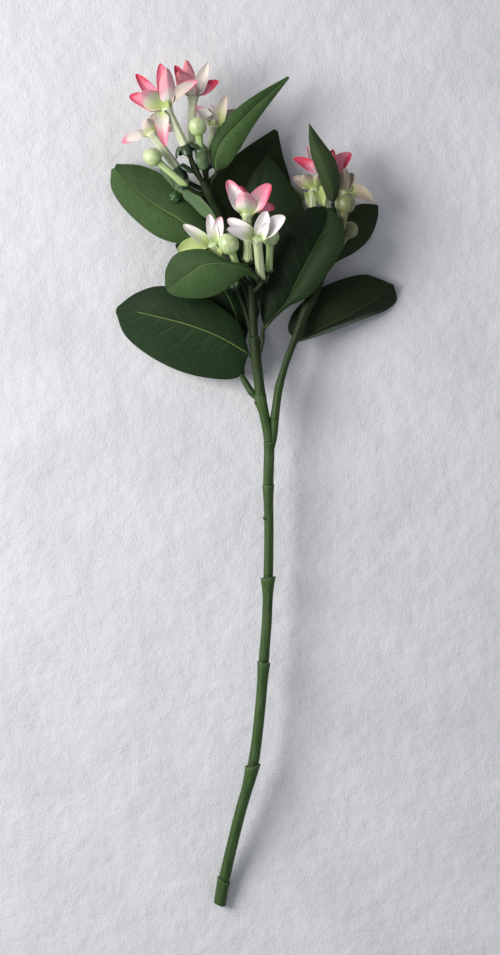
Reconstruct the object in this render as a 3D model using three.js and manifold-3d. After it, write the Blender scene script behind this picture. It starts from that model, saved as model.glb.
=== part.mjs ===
// An artificial madagascar jasmine stem, lying down: a moulded stem with three flowering branches,
// fabric leaves, fabric blooms on moulded tubes and moulded buds. Millimetres, +Z up, +Y from the cut
// end to the flowers. The origin is on the surface it lies on, under the middle of its outline.
import * as THREE from 'three';
import { mergeVertices } from 'three/addons/utils/BufferGeometryUtils.js';
import Module from 'manifold-3d';

// Driving sizes
const leafThickness = 0.8;
const petalThickness = 0.6;
const seatGap = 0.55;
const petioleRadius = 1.5;
const petioleEnd = 2.5;
const budStalk = 0.87;
const lobeReach = 2.2;
const hangingLobes = -4;
const wideCalyx = 1.1;
const budCalyx = 0.68;
const calyxes = { bloom_a1: [1.35, 1.3], bloom_a2: [1.35, 2], bud_a1: [0.9], bud_a2: [0.92, 3.1] };
const petalTurn = 0.8;
const joinTolerance = 0.05;

// Colours and finish of the moulded and woven parts
const stemGreen = { color: 0x2f4a2b, roughness: 0.5, metalness: 0 };
const leafGreen = { color: 0x1d3b26, roughness: 0.55, metalness: 0 };
const petalPink = { color: 0xe9b9bd, roughness: 0.7, metalness: 0 };
const budGreen = { color: 0xb9cf95, roughness: 0.35, metalness: 0 };

// Places on the main stem: its knot, a nub low down, the side stub from the knot with the nub at its end,
// and the foot that the right branch stands on
const knotPlace = [5, 65, 28.5];
const knotRadius = 4.5;
const nubs = [[[9, -25.5, 29], 1.6], [[-8.5, 85.5, 24], 1.7]];
const stubLine = [[2.5, 67.5, 28.5], [-2.5, 74, 26.5], [-8.5, 84, 24]];
const footLine = [[12.5, 23, 27], [15.5, 38.5, 27], [16.5, 52, 27.5]];

// Radii of the branches, spread evenly from foot to end
const rightRadii = [3.4, 3.3, 3.2, 2.8, 2.6, 2.9, 3.3, 4.3, 4.4, 3.4, 2.6];
const leftRadii = [2.4, 2.4, 2.5, 2.6, 2.6, 2.6, 3.2, 3.6, 3.2];
const centreRadii = [3.2, 3.0];

// A cup without a flower that lies on a leaf, fused to it
const loneCup = { leaf: 'leaf_left', place: [-61, 224, 23], radius: 3.7 };

// Each leaf by three lines from its base to its tip: the left edge, the rib and the right edge, and how
// far each half swells between them.
const leaves = {
  leaf_top: {
    left: [
      [-30.5, 244.5, 44], [-34.5, 259.5, 45], [-28, 274, 48], [-16, 289, 47], [1, 302.5, 42],
      [26, 318, 30],
    ],
    rib: [
      [-29, 243.5, 44], [-29, 254, 47], [-24.5, 265.5, 50], [-12, 279.5, 50], [3.5, 295.5, 44],
      [27, 318, 30],
    ],
    right: [
      [-27.5, 243.5, 44], [-20, 247.5, 43], [-11, 259.5, 46], [-2, 275, 46], [11, 294, 41],
      [28, 317, 30],
    ],
    swell: 1.5,
  },
  leaf_back_upper: {
    left: [
      [-9.5, 166.5, 20], [-24.5, 184, 14], [-39.5, 207, 12], [-39.5, 233.5, 12], [-14.5, 258, 12],
      [16, 279, 12],
    ],
    rib: [
      [-8, 166.5, 20], [-6.5, 184, 18], [-3.5, 206, 16], [3, 231, 14], [10, 256, 13], [17, 278.5, 12],
    ],
    right: [
      [-7, 166.5, 20], [6.5, 184, 14], [24.5, 206.5, 9], [30, 231.5, 7], [23, 259, 10],
      [19, 277.5, 12],
    ],
    swell: 1.5,
  },
  leaf_back_lower: {
    left: [
      [1.5, 144.5, 25], [-2.5, 169.5, 22], [-7.5, 193, 22], [-10.5, 217, 22], [-2.5, 240, 21],
      [10, 258, 22],
    ],
    rib: [
      [2.5, 144.5, 25], [2.5, 168, 25], [2.5, 191.5, 25], [4.5, 214.5, 25], [6.5, 238, 24],
      [11, 258, 22],
    ],
    right: [
      [4, 144.5, 25], [21.5, 166.5, 24], [37, 191.5, 25], [38.5, 217, 27], [26, 239.5, 24],
      [12.5, 257, 22],
    ],
    swell: 1.5,
  },
  leaf_left: {
    left: [
      [-32, 188.5, 25], [-49.5, 187.5, 21], [-74.5, 194, 18], [-98, 213, 14], [-111, 232, 10],
      [-111.5, 248, 8],
    ],
    rib: [
      [-31.5, 190, 25], [-45, 199, 24], [-60.5, 209.5, 23], [-77, 219.5, 20], [-93.5, 232.5, 16],
      [-109, 248.5, 10],
    ],
    right: [
      [-31, 191, 25], [-37, 205.5, 22], [-52.5, 223.5, 20], [-68.5, 240.5, 17], [-87, 250, 13],
      [-107.5, 252, 9],
    ],
    swell: 2,
  },
  leaf_strip: {
    left: [
      [-29, 204.5, 29.5], [-39.5, 210, 24], [-50.5, 220.5, 23], [-59.5, 229, 22], [-68.5, 239, 22],
      [-73.5, 246.5, 26],
    ],
    rib: [
      [-28.5, 205, 30], [-36, 213.5, 28], [-45.5, 223, 27], [-55, 232, 26], [-64.5, 239.5, 26],
      [-73, 247, 26],
    ],
    right: [
      [-27.5, 205.5, 30.5], [-34, 216.5, 32], [-42.5, 226, 31], [-51.5, 234, 30], [-62, 241, 29],
      [-72, 247.5, 26],
    ],
    swell: 0.8,
  },
  leaf_front: {
    left: [
      [3, 157.5, 54], [-6.5, 161.5, 59.5], [-19, 152.5, 58], [-32, 146, 55], [-47.5, 144.5, 52],
      [-60, 146.5, 48], [-66.5, 150, 46],
    ],
    rib: [
      [4.5, 158.5, 54.5], [-6, 166, 61.5], [-20.5, 170.5, 64], [-37.5, 170, 63], [-48, 164, 59],
      [-57.5, 158, 53], [-67, 151.5, 46],
    ],
    right: [
      [6, 160, 54], [-6, 170, 61.5], [-20.5, 173, 62], [-38, 182, 59], [-58.5, 179.5, 54],
      [-67.5, 168, 49], [-68.5, 153.5, 46],
    ],
    swell: 1.5,
  },
  leaf_large: {
    left: [
      [-4.5, 100.5, 30], [-13, 84, 23], [-43.5, 85.5, 15], [-75, 97.5, 7], [-99.5, 116.5, -0.5],
      [-108, 135.5, 5.5],
    ],
    rib: [
      [-3.5, 102, 31], [-24.5, 114.5, 33], [-48, 124, 32], [-73, 131, 27], [-91.5, 135.5, 19],
      [-107.5, 138, 9],
    ],
    right: [
      [-3.5, 104, 31], [-12, 127, 30], [-38, 146.5, 28], [-69, 155.5, 24], [-90.5, 151, 16],
      [-106, 140.5, 9],
    ],
    swell: 2.5,
  },
  leaf_centre_right: {
    left: [
      [8, 124, 34], [5.5, 135, 29], [4.5, 152, 29], [6.5, 174, 31], [14.5, 190.5, 37], [26, 201, 42],
      [41.5, 214.5, 42], [55.5, 216.5, 40],
    ],
    rib: [
      [9, 123, 34], [16.5, 132.5, 33.5], [25, 142, 35], [33.5, 158.5, 38], [42, 175, 42],
      [50, 189.5, 45], [55.5, 201.5, 45], [57.5, 214.5, 41],
    ],
    right: [
      [10, 122.5, 34], [18, 131, 35.5], [27.5, 139, 38.5], [44, 147.5, 42], [57.5, 164.5, 47],
      [68.5, 182, 51], [70, 200.5, 49], [60, 215.5, 42],
    ],
    swell: 4,
  },
  leaf_far_right: {
    left: [
      [52, 169, 25], [56, 189.5, 19], [63, 203.5, 17], [71.5, 214, 13], [83.5, 220.5, 8],
      [96.5, 220.5, 3],
    ],
    rib: [
      [53.5, 168, 25], [63, 182, 23], [72, 194, 19], [81, 204.5, 14], [90, 213.5, 8], [97.5, 220, 3],
    ],
    right: [
      [54.5, 167, 25], [66, 175, 20], [79.5, 182.5, 14], [90, 192.5, 7], [97, 207, 0], [98, 218.5, 3],
    ],
    swell: 1.5,
  },
  leaf_low_right: {
    left: [
      [33.5, 113.5, 22], [27, 121.5, 20], [31.5, 135.5, 20], [47.5, 151, 19], [65.5, 160, 17],
      [85, 165, 13], [95.5, 163, 10], [109, 157.5, 8],
    ],
    rib: [
      [34.5, 112.5, 22], [47, 119.5, 23], [60.5, 126.5, 24], [73, 132, 23], [84.5, 139, 20],
      [95, 145.5, 16], [104, 152, 11], [109.5, 157.5, 8],
    ],
    right: [
      [36, 112, 22], [47.5, 115.5, 19], [61.5, 120.5, 16], [75.5, 126, 13], [90.5, 132, 9],
      [104, 137.5, 4], [112.5, 145.5, 0.5], [110, 157, 7.5],
    ],
    swell: 1.5,
  },
  leaf_upright: {
    left: [
      [61, 219, 40], [56, 225.5, 39], [50.5, 240, 42], [45, 254.5, 44], [43, 267, 44], [43, 280, 42],
    ],
    rib: [
      [61.5, 219, 40], [61, 227.5, 44], [57.5, 238.5, 48], [52, 251.5, 50], [47, 265, 48],
      [43.5, 280.5, 42],
    ],
    right: [
      [62.5, 219, 40], [66, 227.5, 40], [66.5, 240.5, 43], [62.5, 253.5, 46], [54.5, 265, 45],
      [43.5, 280, 42],
    ],
    swell: 1,
  },
  leaf_under: {
    left: [
      [-9.5, 109.5, 22], [-24.5, 125.5, 17], [-38, 145, 14], [-47.5, 162.5, 11], [-56, 175.5, 11],
      [-61.5, 188.5, 11],
    ],
    rib: [
      [-8, 109.5, 22], [-13, 130.5, 22], [-20.5, 148.5, 20], [-32.5, 167, 16], [-46, 179.5, 13],
      [-60.5, 189, 12],
    ],
    right: [
      [-7, 109.5, 22], [-2.5, 131, 18], [-7.5, 151.5, 15], [-20, 173.5, 13], [-38, 186.5, 12],
      [-60, 190, 12],
    ],
    swell: 1.5,
  },
};

// Each bloom by the mouth and the foot of its tube, the place its stalk grows from, and its petals: the
// tip and the half width.
const blooms = {
  bloom_a1: {
    head: [-67, 291, 54], foot: [-52, 260, 48], root: [-31, 220, 34],
    petals: [
      { tip: [-91, 318, 50], half: 5.6 },
      { tip: [-96, 301, 48], half: 6.4 },
      { tip: [-72, 326, 52], half: 6.2 },
      { tip: [-67, 321, 66], half: 6.8 },
      { tip: [-87, 302, 64], half: 8.4 },
      { tip: [-68, 262, 52], half: 5.8 },
      { tip: [-43, 312, 58], half: 4.6 },
    ],
  },
  bloom_a2: {
    head: [-79, 273, 38], foot: [-56, 242, 35], root: [-34, 229, 34],
    petals: [
      { tip: [-102, 266, 35], half: 4.4 },
      { tip: [-83, 284, 42], half: 6.4 },
      { tip: [-73, 290, 34], half: 5.6 },
      { tip: [-70, 268, 33], half: 4.5 },
      { tip: [-63, 276, 31], half: 4.5 },
    ],
  },
  bloom_a3: {
    head: [-47, 301, 41], foot: [-49, 262, 36], root: [-34, 230, 35],
    petals: [
      { tip: [-52, 329, 48], half: 5.6 },
      { tip: [-61, 326, 38], half: 5 },
      { tip: [-35, 327, 46], half: 5.6 },
      { tip: [-27, 313, 44], half: 4.8 },
      { tip: [-58, 320, 52], half: 6.8 },
    ],
  },
  bloom_a4: {
    head: [-30, 278, 36], foot: [-36, 248, 32], root: [-33, 228, 34],
    petals: [
      { tip: [-45, 293, 46], half: 5.2 },
      { tip: [-33, 295, 40], half: 4.8 },
      { tip: [-21, 303, 40], half: 5.2 },
      { tip: [-14, 292, 34], half: 5 },
      { tip: [-17, 273, 30], half: 5 },
    ],
  },
  bloom_b1: {
    head: [-5, 209, 70], foot: [-4, 173, 51], root: [0, 155, 43],
    petals: [
      { tip: [-20, 234, 72], half: 6.2 },
      { tip: [-12, 230, 64], half: 6 },
      { tip: [-7, 224, 84], half: 7.6 },
      { tip: [13, 231, 74], half: 7 },
      { tip: [16, 213, 66], half: 4.5 },
    ],
  },
  bloom_b2: {
    head: [3, 189, 71], foot: [6, 159, 47], root: [0, 152, 42],
    petals: [
      { tip: [-20, 204, 72], half: 5.2 },
      { tip: [-20, 196, 82], half: 5 },
      { tip: [10, 210, 78], half: 6 },
      { tip: [11, 201, 80], half: 4.2 },
      { tip: [24, 206, 76], half: 6.4 },
    ],
  },
  bloom_b3: {
    head: [-31, 186, 53], foot: [-14, 154, 38], root: [-2, 119, 29],
    petals: [
      { tip: [-54, 201, 56], half: 4.8 },
      { tip: [-34, 209, 58], half: 4.6 },
      { tip: [-25, 207, 60], half: 4.8 },
      { tip: [-58, 179, 49], half: 7 },
      { tip: [-28, 172, 51], half: 6.8 },
    ],
  },
  bloom_c1: {
    head: [56, 241, 30], foot: [56, 202, 24], root: [60, 182, 29],
    petals: [
      { tip: [31, 254, 32], half: 4.8 },
      { tip: [42, 264, 28], half: 5 },
      { tip: [62, 261, 34], half: 5.2 },
      { tip: [76, 258, 34], half: 6.8 },
      { tip: [67, 230, 24], half: 5 },
    ],
  },
  bloom_c2: {
    head: [69, 228, 34], foot: [64, 202, 30], root: [61, 184, 30],
    petals: [
      { tip: [71, 246, 40], half: 5.6 },
      { tip: [92, 221, 34], half: 5.8 },
      { tip: [77, 243, 31], half: 5 },
      { tip: [62, 236, 30], half: 4.5 },
      { tip: [77, 216, 30], half: 4.5 },
    ],
  },
  bloom_c3: {
    head: [47, 230, 32], foot: [46, 199, 29], root: [58, 179, 29],
    petals: [
      { tip: [31, 239, 34], half: 4.8 },
      { tip: [39, 241, 40], half: 5.4 },
      { tip: [50, 241, 38], half: 4.8 },
      { tip: [43, 217, 31], half: 4.6 },
      { tip: [54, 217, 38], half: 4.8 },
    ],
  },
};

// Each bud by the middle of its head, the foot of its stalk, the place that grows from and its radius
const buds = {
  bud_a1: { head: [-78, 254, 48], foot: [-52, 232, 43], root: [-33, 225, 34], radius: 7.2 },
  bud_a2: { head: [-43, 277, 54], foot: [-40, 253, 44], root: [-33, 227, 34], radius: 7 },
  bud_b1: { head: [-19, 186, 62], foot: [-11, 165, 49], root: [-1, 156, 43], radius: 8 },
  bud_b2: { head: [13, 192, 56], foot: [12, 166, 42], root: [0, 154, 43], radius: 7 },
  bud_c1: { head: [34, 226, 16], foot: [43, 206, 21], root: [56, 175, 29], radius: 6.3 },
  bud_c2: { head: [72, 218, 43], foot: [68, 196, 36], root: [61, 183, 30], radius: 7 },
  bud_c3: { head: [75, 199, 26], foot: [66, 185, 28], root: [60, 180, 29], radius: 6.5 },
};

// The middle lines of the stem and its branches, from the cut end outwards
const mainLine = [
  [-26.5, -329, 4.5], [-23, -309, 8], [-12, -261.5, 18], [-0.5, -218, 25], [5, -175, 27],
  [8, -137.5, 27], [10.5, -105, 27], [11.5, -71.5, 27], [12, -34.5, 27], [11.5, 0.5, 27], [12, 34, 27],
  [8.5, 55, 28], [5.5, 71, 29], [2.5, 95.5, 31], [0.5, 115.5, 32],
];
const rightLine = [
  [16.5, 52.5, 27.5], [18.5, 68, 28], [20, 77, 29], [23.5, 89.5, 29.5], [27, 100.5, 30],
  [31.5, 112, 31], [35, 121, 31], [41, 136.5, 30], [45.5, 146, 29], [53.5, 164, 29], [61, 184, 30],
];
const leftLine = [
  [-1, 116, 28.5], [-2.5, 135, 26.5], [-5, 150.5, 26.5], [-10.5, 168, 28], [-16.5, 188.5, 30],
  [-23.5, 205, 31], [-30.5, 218, 35], [-35, 227, 38], [-39, 236, 40],
];
const centreLine = [[0.5, 116, 34.5], [-0.5, 133, 36.5], [-1, 146, 40], [-1.5, 156, 44]];

// The stalks of the leaves, each from where it grows towards the base of its leaf
const petioles = [
  { leaf: 'leaf_top', grows: 'left', line: [[-33, 225.5, 34], [-32.5, 235.5, 38]] },
  { leaf: 'leaf_back_upper', grows: 'left', line: [[-7, 157.5, 27], [-8, 161, 23]] },
  { leaf: 'leaf_left', grows: 'left', line: [[-15, 183, 30], [-23, 186.5, 27]] },
  { leaf: 'leaf_strip', grows: 'left', line: [[-19, 194, 30], [-23.5, 200.5, 30.5]] },
  { leaf: 'leaf_back_lower', grows: 'centre', line: [[0.5, 127, 35.5], [3, 135, 29]] },
  { leaf: 'leaf_front', grows: 'centre', line: [[-0.5, 151, 41], [2.5, 152, 50]] },
  { leaf: 'leaf_large', grows: 'main', line: [[2.5, 98.5, 31], [-0.5, 100, 31]] },
  { leaf: 'leaf_centre_right', grows: 'main', line: [[3, 95.5, 31], [5, 104, 31.5], [7, 113, 32.5]] },
  { leaf: 'leaf_under', grows: 'main', line: [[-8.5, 84, 23.5], [-8.5, 93, 20.5]] },
  { leaf: 'leaf_far_right', grows: 'right', line: [[47, 150, 29], [50, 159.5, 26.5]] },
  { leaf: 'leaf_low_right', grows: 'right', line: [[29, 104, 30], [30, 108.5, 25]] },
  { leaf: 'leaf_upright', grows: 'right', line: [[61, 184, 30], [64, 198.5, 35], [63, 212, 39]] },
];

const wasm = await Module();
wasm.setup();

const at = (point) => new THREE.Vector3(...point);
const lineThrough = (points) => new THREE.CatmullRomCurve3(points.map(at), false, 'catmullrom', 0.5);
const count = (n) => Array.from({ length: n }, (_, i) => i);
const mix = (a, b, f) => a + (b - a) * f;

function closedMesh(points, triangles) {
  const geometry = new THREE.BufferGeometry();
  const places = points.flatMap((p) => p.toArray());
  geometry.setAttribute('position', new THREE.Float32BufferAttribute(places, 3));
  geometry.setIndex(triangles.flat());
  return geometry;
}

// A skin over rings of equally many points that follow one another, closed at both ends
function skinOver(rings) {
  const sides = rings[0].length;
  const middle = (ring) => ring.reduce((sum, p) => sum.add(p), new THREE.Vector3()).divideScalar(sides);
  const points = [...rings.flat(), middle(rings[0]), middle(rings[rings.length - 1])];
  const first = rings.length * sides;
  const last = (rings.length - 1) * sides;
  const triangles = [];
  for (const k of count(sides)) {
    const next = (k + 1) % sides;
    triangles.push([first, next, k], [first + 1, last + k, last + next]);
    for (const i of count(rings.length - 1)) {
      const a = i * sides;
      const b = a + sides;
      triangles.push([a + k, a + next, b + next], [a + k, b + next, b + k]);
    }
  }
  return closedMesh(points, triangles);
}

// A round solid about an axis from a point. The profile gives steps along it and radii, and
// wave(angle, index) may shift a step along the axis.
function turned(start, axis, profile, sides, wave = () => 0) {
  const across = new THREE.Vector3(0, 0, 1).cross(axis);
  if (across.length() < 0.05) across.set(1, 0, 0).cross(axis);
  across.normalize();
  const up = axis.clone().cross(across);
  const rings = profile.map(([step, radius], index) => count(sides).map((k) => {
    const angle = (2 * Math.PI * k) / sides;
    return start.clone()
      .addScaledVector(axis, step + wave(angle, index))
      .addScaledVector(across, radius * Math.cos(angle))
      .addScaledVector(up, radius * Math.sin(angle));
  }));
  return skinOver(rings);
}

// A rod along a curve. Each station is [place on the curve from 0 to 1, radius, slant of the ring].
function rodAlong(curve, stations, sides) {
  let across = new THREE.Vector3(0, 0, 1).cross(curve.getTangent(0)).normalize();
  const rings = stations.map(([place, radius, slant = 0]) => {
    const centre = curve.getPoint(place);
    const tangent = curve.getTangent(place);
    across = across.clone().addScaledVector(tangent, -across.dot(tangent)).normalize();
    const up = tangent.clone().cross(across);
    return count(sides).map((k) => {
      const angle = (2 * Math.PI * k) / sides;
      return centre.clone()
        .addScaledVector(tangent, slant * Math.cos(angle))
        .addScaledVector(across, radius * Math.cos(angle))
        .addScaledVector(up, radius * Math.sin(angle));
    });
  });
  return skinOver(rings);
}

// A thin blade about a grid of points, its rows running from base to tip and each row from left to right.
// Both faces are split into triangles alike.
function blade(grid, thickness) {
  const rows = grid.length;
  const columns = grid[0].length;
  const face = (side) => grid.flatMap((row, i) => row.map((point, j) => {
    const right = row[Math.min(j + 1, columns - 1)].clone().sub(row[Math.max(j - 1, 0)]);
    const along = grid[Math.min(i + 1, rows - 1)][j].clone().sub(grid[Math.max(i - 1, 0)][j]);
    return point.clone().addScaledVector(right.cross(along).normalize(), (side * thickness) / 2);
  }));
  const points = [...face(1), ...face(-1)];
  const under = rows * columns;
  const triangles = [];
  const quad = (a, b, c, d) => triangles.push([a, b, c], [a, c, d]);
  for (const i of count(rows - 1)) {
    for (const j of count(columns - 1)) {
      const a = i * columns + j;
      const b = a + columns;
      quad(a, a + 1, b + 1, b);
      triangles.push([under + a, under + b + 1, under + a + 1], [under + a, under + b, under + b + 1]);
    }
  }
  const end = (rows - 1) * columns;
  for (const j of count(columns - 1)) {
    quad(j, under + j, under + j + 1, j + 1);
    quad(end + j, end + j + 1, under + end + j + 1, under + end + j);
  }
  for (const i of count(rows - 1)) {
    const a = i * columns;
    const z = a + columns - 1;
    quad(a, a + columns, under + a + columns, under + a);
    quad(z, under + z, under + z + columns, z + columns);
  }
  return closedMesh(points, triangles);
}

// Join closed meshes into one body, and fill any hollow that this seals
function joined(geometries) {
  const solids = geometries.map((geometry) => new wasm.Manifold(new wasm.Mesh({
    numProp: 3,
    vertProperties: geometry.getAttribute('position').array,
    triVerts: Uint32Array.from(geometry.getIndex().array),
  })));
  const shells = solids.reduce((sum, solid) => sum.add(solid)).simplify(joinTolerance).decompose();
  const mesh = shells.sort((a, b) => b.volume() - a.volume())[0].getMesh();
  const geometry = new THREE.BufferGeometry();
  geometry.setAttribute('position', new THREE.Float32BufferAttribute(mesh.vertProperties, 3));
  geometry.setIndex([...mesh.triVerts]);
  return geometry;
}

// Leaf: a fabric blade between its three lines
const leafRows = 9;
const leafAcross = [-1, -0.5, 0, 0.5, 1];

function leafGeometry({ left, rib, right, swell }) {
  const lines = { left: lineThrough(left), rib: lineThrough(rib), right: lineThrough(right) };
  const grid = count(leafRows).map((i) => {
    const place = i / (leafRows - 1);
    const middle = lines.rib.getPoint(place);
    const edges = { left: lines.left.getPoint(place), right: lines.right.getPoint(place) };
    const up = edges.right.clone().sub(edges.left).cross(lines.rib.getTangent(place)).normalize();
    return leafAcross.map((u) => {
      const rise = swell * Math.sin(Math.PI * place) * 4 * Math.abs(u) * (1 - Math.abs(u));
      const edge = u < 0 ? edges.left : edges.right;
      return middle.clone().lerp(edge, Math.abs(u)).addScaledVector(up, rise);
    });
  });
  return blade(grid, leafThickness);
}

// Petal: a keeled blade that leaves the mouth of the tube along its axis and bends out to its tip. It
// turns from facing the axis towards facing up or down.
const petalPlaces = [0, 0.28, 0.6, 1];
const petalKeel = THREE.MathUtils.degToRad(22);
const petalRootDepth = 2;
const petalRootRadius = 3;
const petalBend = 0.3;

function petalGeometry(mouth, axis, { tip, half }) {
  const reach = at(tip).sub(mouth);
  const outward = reach.clone().addScaledVector(axis, -reach.dot(axis));
  const radial = outward.clone().normalize();
  const start = mouth.clone()
    .addScaledVector(axis, -petalRootDepth)
    .addScaledVector(radial, petalRootRadius);
  const bend = mouth.clone()
    .addScaledVector(axis, petalBend * outward.length())
    .addScaledVector(outward, petalBend);
  const midline = new THREE.QuadraticBezierCurve3(start, bend, at(tip));
  const grid = petalPlaces.map((place) => {
    const centre = midline.getPoint(place);
    const tangent = midline.getTangent(place);
    const inner = tangent.clone().cross(axis.clone().cross(radial)).normalize();
    const skyward = new THREE.Vector3(0, 0, inner.z < -0.2 ? -1 : 1);
    const turn = petalTurn * Math.min(1, 2.2 * place);
    const across = inner.lerp(skyward, turn).cross(tangent).normalize();
    const up = tangent.clone().cross(across).normalize();
    const width = half * Math.sin(Math.PI * (0.05 + 0.93 * place)) ** 0.65;
    return [1, 0, -1].map((u) => centre.clone()
      .addScaledVector(across, u * width * Math.cos(petalKeel))
      .addScaledVector(up, Math.abs(u) * width * Math.sin(petalKeel)));
  });
  return blade(grid, petalThickness);
}

// Bloom: five to seven petals sunk into the mouth of a moulded tube with a rounded foot
const tubeSides = 8;

function bloomGeometry({ head, foot, petals }) {
  const mouth = at(head);
  const length = mouth.distanceTo(at(foot));
  const axis = mouth.clone().sub(at(foot)).normalize();
  const profile = [
    [0, 1.9], [0.8, 3.3], [3, 4.0], [8, 3.7],
    [length - 7, 3.7], [length - 2, 4.4], [length, 4.8], [length + 2.4, 2.8],
  ];
  const tube = turned(at(foot), axis, profile, tubeSides);
  return joined([tube, ...petals.map((petal) => petalGeometry(mouth, axis, petal))]);
}

// Bud: a round head on a short stalk that narrows and swells again at its foot. The head's rings are given
// by their angles above its middle.
const budSides = 10;
const budRings = [-42, -8, 26, 58];

function budGeometry({ head, foot, radius }) {
  const centre = at(head);
  const axis = centre.clone().sub(at(foot)).normalize();
  const length = centre.distanceTo(at(foot));
  const neck = length - radius * 0.95;
  const profile = [[0, 1.9], [1.6, 2.8], [mix(2.5, neck, 0.6), 2.7], [neck, 3.3]];
  for (const degrees of budRings) {
    const angle = THREE.MathUtils.degToRad(degrees);
    profile.push([length + radius * 1.08 * Math.sin(angle), radius * Math.cos(angle)]);
  }
  profile.push([length + radius * 1.12, 1.2]);
  return turned(at(foot), axis, profile, budSides);
}

// Calyx: a small cup with five pointed lobes that the foot of a bloom or bud stands in. The lobes are the
// waves of the two rings at its rim. Those of a wide calyx hang back along the stalk.
const calyxProfile = [[-3.2, 1.5], [-1.2, 3.2], [2.0, 5.8], [2.5, 5.2], [0.6, 3.9], [-0.4, 2.3]];
const calyxRim = [2, 3];

function calyxGeometry(item, size, stretch = 1) {
  const axis = at(item.head).sub(at(item.foot)).normalize();
  const profile = calyxProfile.map(([step, radius]) => [step * size * stretch, radius * size]);
  const hangs = size > wideCalyx;
  const reach = (hangs ? hangingLobes : lobeReach) * size;
  const least = hangs ? 0 : -1;
  const wave = (angle) => reach * Math.max(least, Math.cos(5 * angle));
  const lobe = (angle, index) => (calyxRim.includes(index) ? wave(angle) : 0);
  return turned(at(item.foot), axis, profile, 10, lobe);
}

// Stalk of a bloom or bud: from its root on the branch into the solid bottom of its calyx
function pedicelGeometry(item, size, thickness) {
  const axis = at(item.head).sub(at(item.foot)).normalize();
  const end = at(item.foot).addScaledVector(axis, -1.6 * size);
  const bend = at(item.foot).addScaledVector(axis, -0.5 * at(item.foot).distanceTo(at(item.root)));
  const curve = new THREE.QuadraticBezierCurve3(at(item.root), bend, end);
  const radius = thickness * (size < 1 ? budStalk : 1);
  return rodAlong(curve, [0, 0.4, 0.8, 1].map((place) => [place, radius]), 6);
}

function petioleGeometry({ leaf, line }) {
  const rib = leaves[leaf].rib;
  const seat = at(rib[0]);
  const inward = at(rib[1]).sub(seat).normalize();
  seat.addScaledVector(inward, -seatGap);
  const approach = seat.clone().addScaledVector(inward, -petioleEnd);
  const curve = new THREE.CatmullRomCurve3([...line.map(at), approach, seat], false, 'catmullrom', 0.5);
  return rodAlong(curve, [0, 0.35, 0.7, 1].map((place) => [place, mix(1.8, petioleRadius, place)]), 6);
}

// Main stem: segments that each widen to a slanted lip, with the next one standing in it. A segment is
// [first and last point of the middle line, radius at its foot, radius of its lip, slant of the lip].
const segments = [
  [0, 1, 4.8, 5.4, 1.6], [1, 3, 4.3, 5.9, -2.0], [3, 5, 4.1, 5.2, 0.6], [5, 7, 3.9, 6.0, -0.8],
  [7, 9, 3.7, 5.0, -0.8], [9, 10, 4.0, 4.6, 0.6], [10, 12, 3.5, 4.7, 0.4], [12, 14, 3.7, 4.6, 0],
];
const flareStart = 0.7;
const lipStep = 0.9;
const lipDepth = 1.4;

function mainStemGeometry() {
  const curve = lineThrough(mainLine);
  const length = curve.getLength();
  const stations = [[0, 4.0, 0.8], [1.2 / length, 4.8, 0.8]];
  segments.forEach(([from, to, foot, lip, slant], index) => {
    const place = (f) => mix(from, to, f) / (mainLine.length - 1);
    for (const f of [0.3, flareStart, 0.9]) {
      stations.push([place(f), mix(foot, lip, Math.max(0, (f - flareStart) / (1 - flareStart)) ** 2)]);
    }
    stations.push([place(1), lip, slant]);
    if (index < segments.length - 1) {
      const nextFoot = segments[index + 1][2];
      stations.push([place(1), lip - lipStep, slant]);
      stations.push([place(1) - lipDepth / length, nextFoot, slant]);
    }
  });
  return rodAlong(curve, stations, 10);
}

function ball(centre, radius) {
  const sphere = new THREE.SphereGeometry(radius, 10, 8);
  sphere.translate(...centre);
  sphere.deleteAttribute('normal');
  sphere.deleteAttribute('uv');
  return mergeVertices(sphere);
}

// The value at a place from 0 to 1 along a list of evenly spread values
function spread(values, place) {
  const step = place * (values.length - 1);
  const before = Math.min(Math.floor(step), values.length - 2);
  return mix(values[before], values[before + 1], step - before);
}

// Branch: a stem that carries the stalks of its leaves, and the calyxes of its blooms and buds
function branchGeometry(line, radii, stalkRadius, name, items) {
  const curve = lineThrough(line);
  const steps = 2 * (line.length - 1);
  const stations = count(steps + 1).map((i) => [i / steps, spread(radii, i / steps)]);
  const stem = rodAlong(curve, stations, 7);
  const stalks = petioles.filter(({ grows }) => grows === name).map(petioleGeometry);
  const cups = items.flatMap(([item, size, stretch]) => [
    calyxGeometry(item, size, stretch),
    pedicelGeometry(item, size, stalkRadius),
  ]);
  return joined([stem, ...stalks, ...cups]);
}

// The blooms and buds of a cluster, with the sizes of their calyxes and how far they are stretched
const named = (items, start) => Object.keys(items).filter((name) => name.startsWith(start));
const cluster = (letter) => [
  ...named(blooms, `bloom_${letter}`).map((name) => [blooms[name], ...(calyxes[name] ?? [1])]),
  ...named(buds, `bud_${letter}`).map((name) => [buds[name], ...(calyxes[name] ?? [budCalyx])]),
];

const stem = new THREE.Group();

function addPart(name, geometry, finish) {
  const mesh = new THREE.Mesh(geometry, new THREE.MeshStandardMaterial(finish));
  mesh.name = name;
  stem.add(mesh);
}

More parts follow.
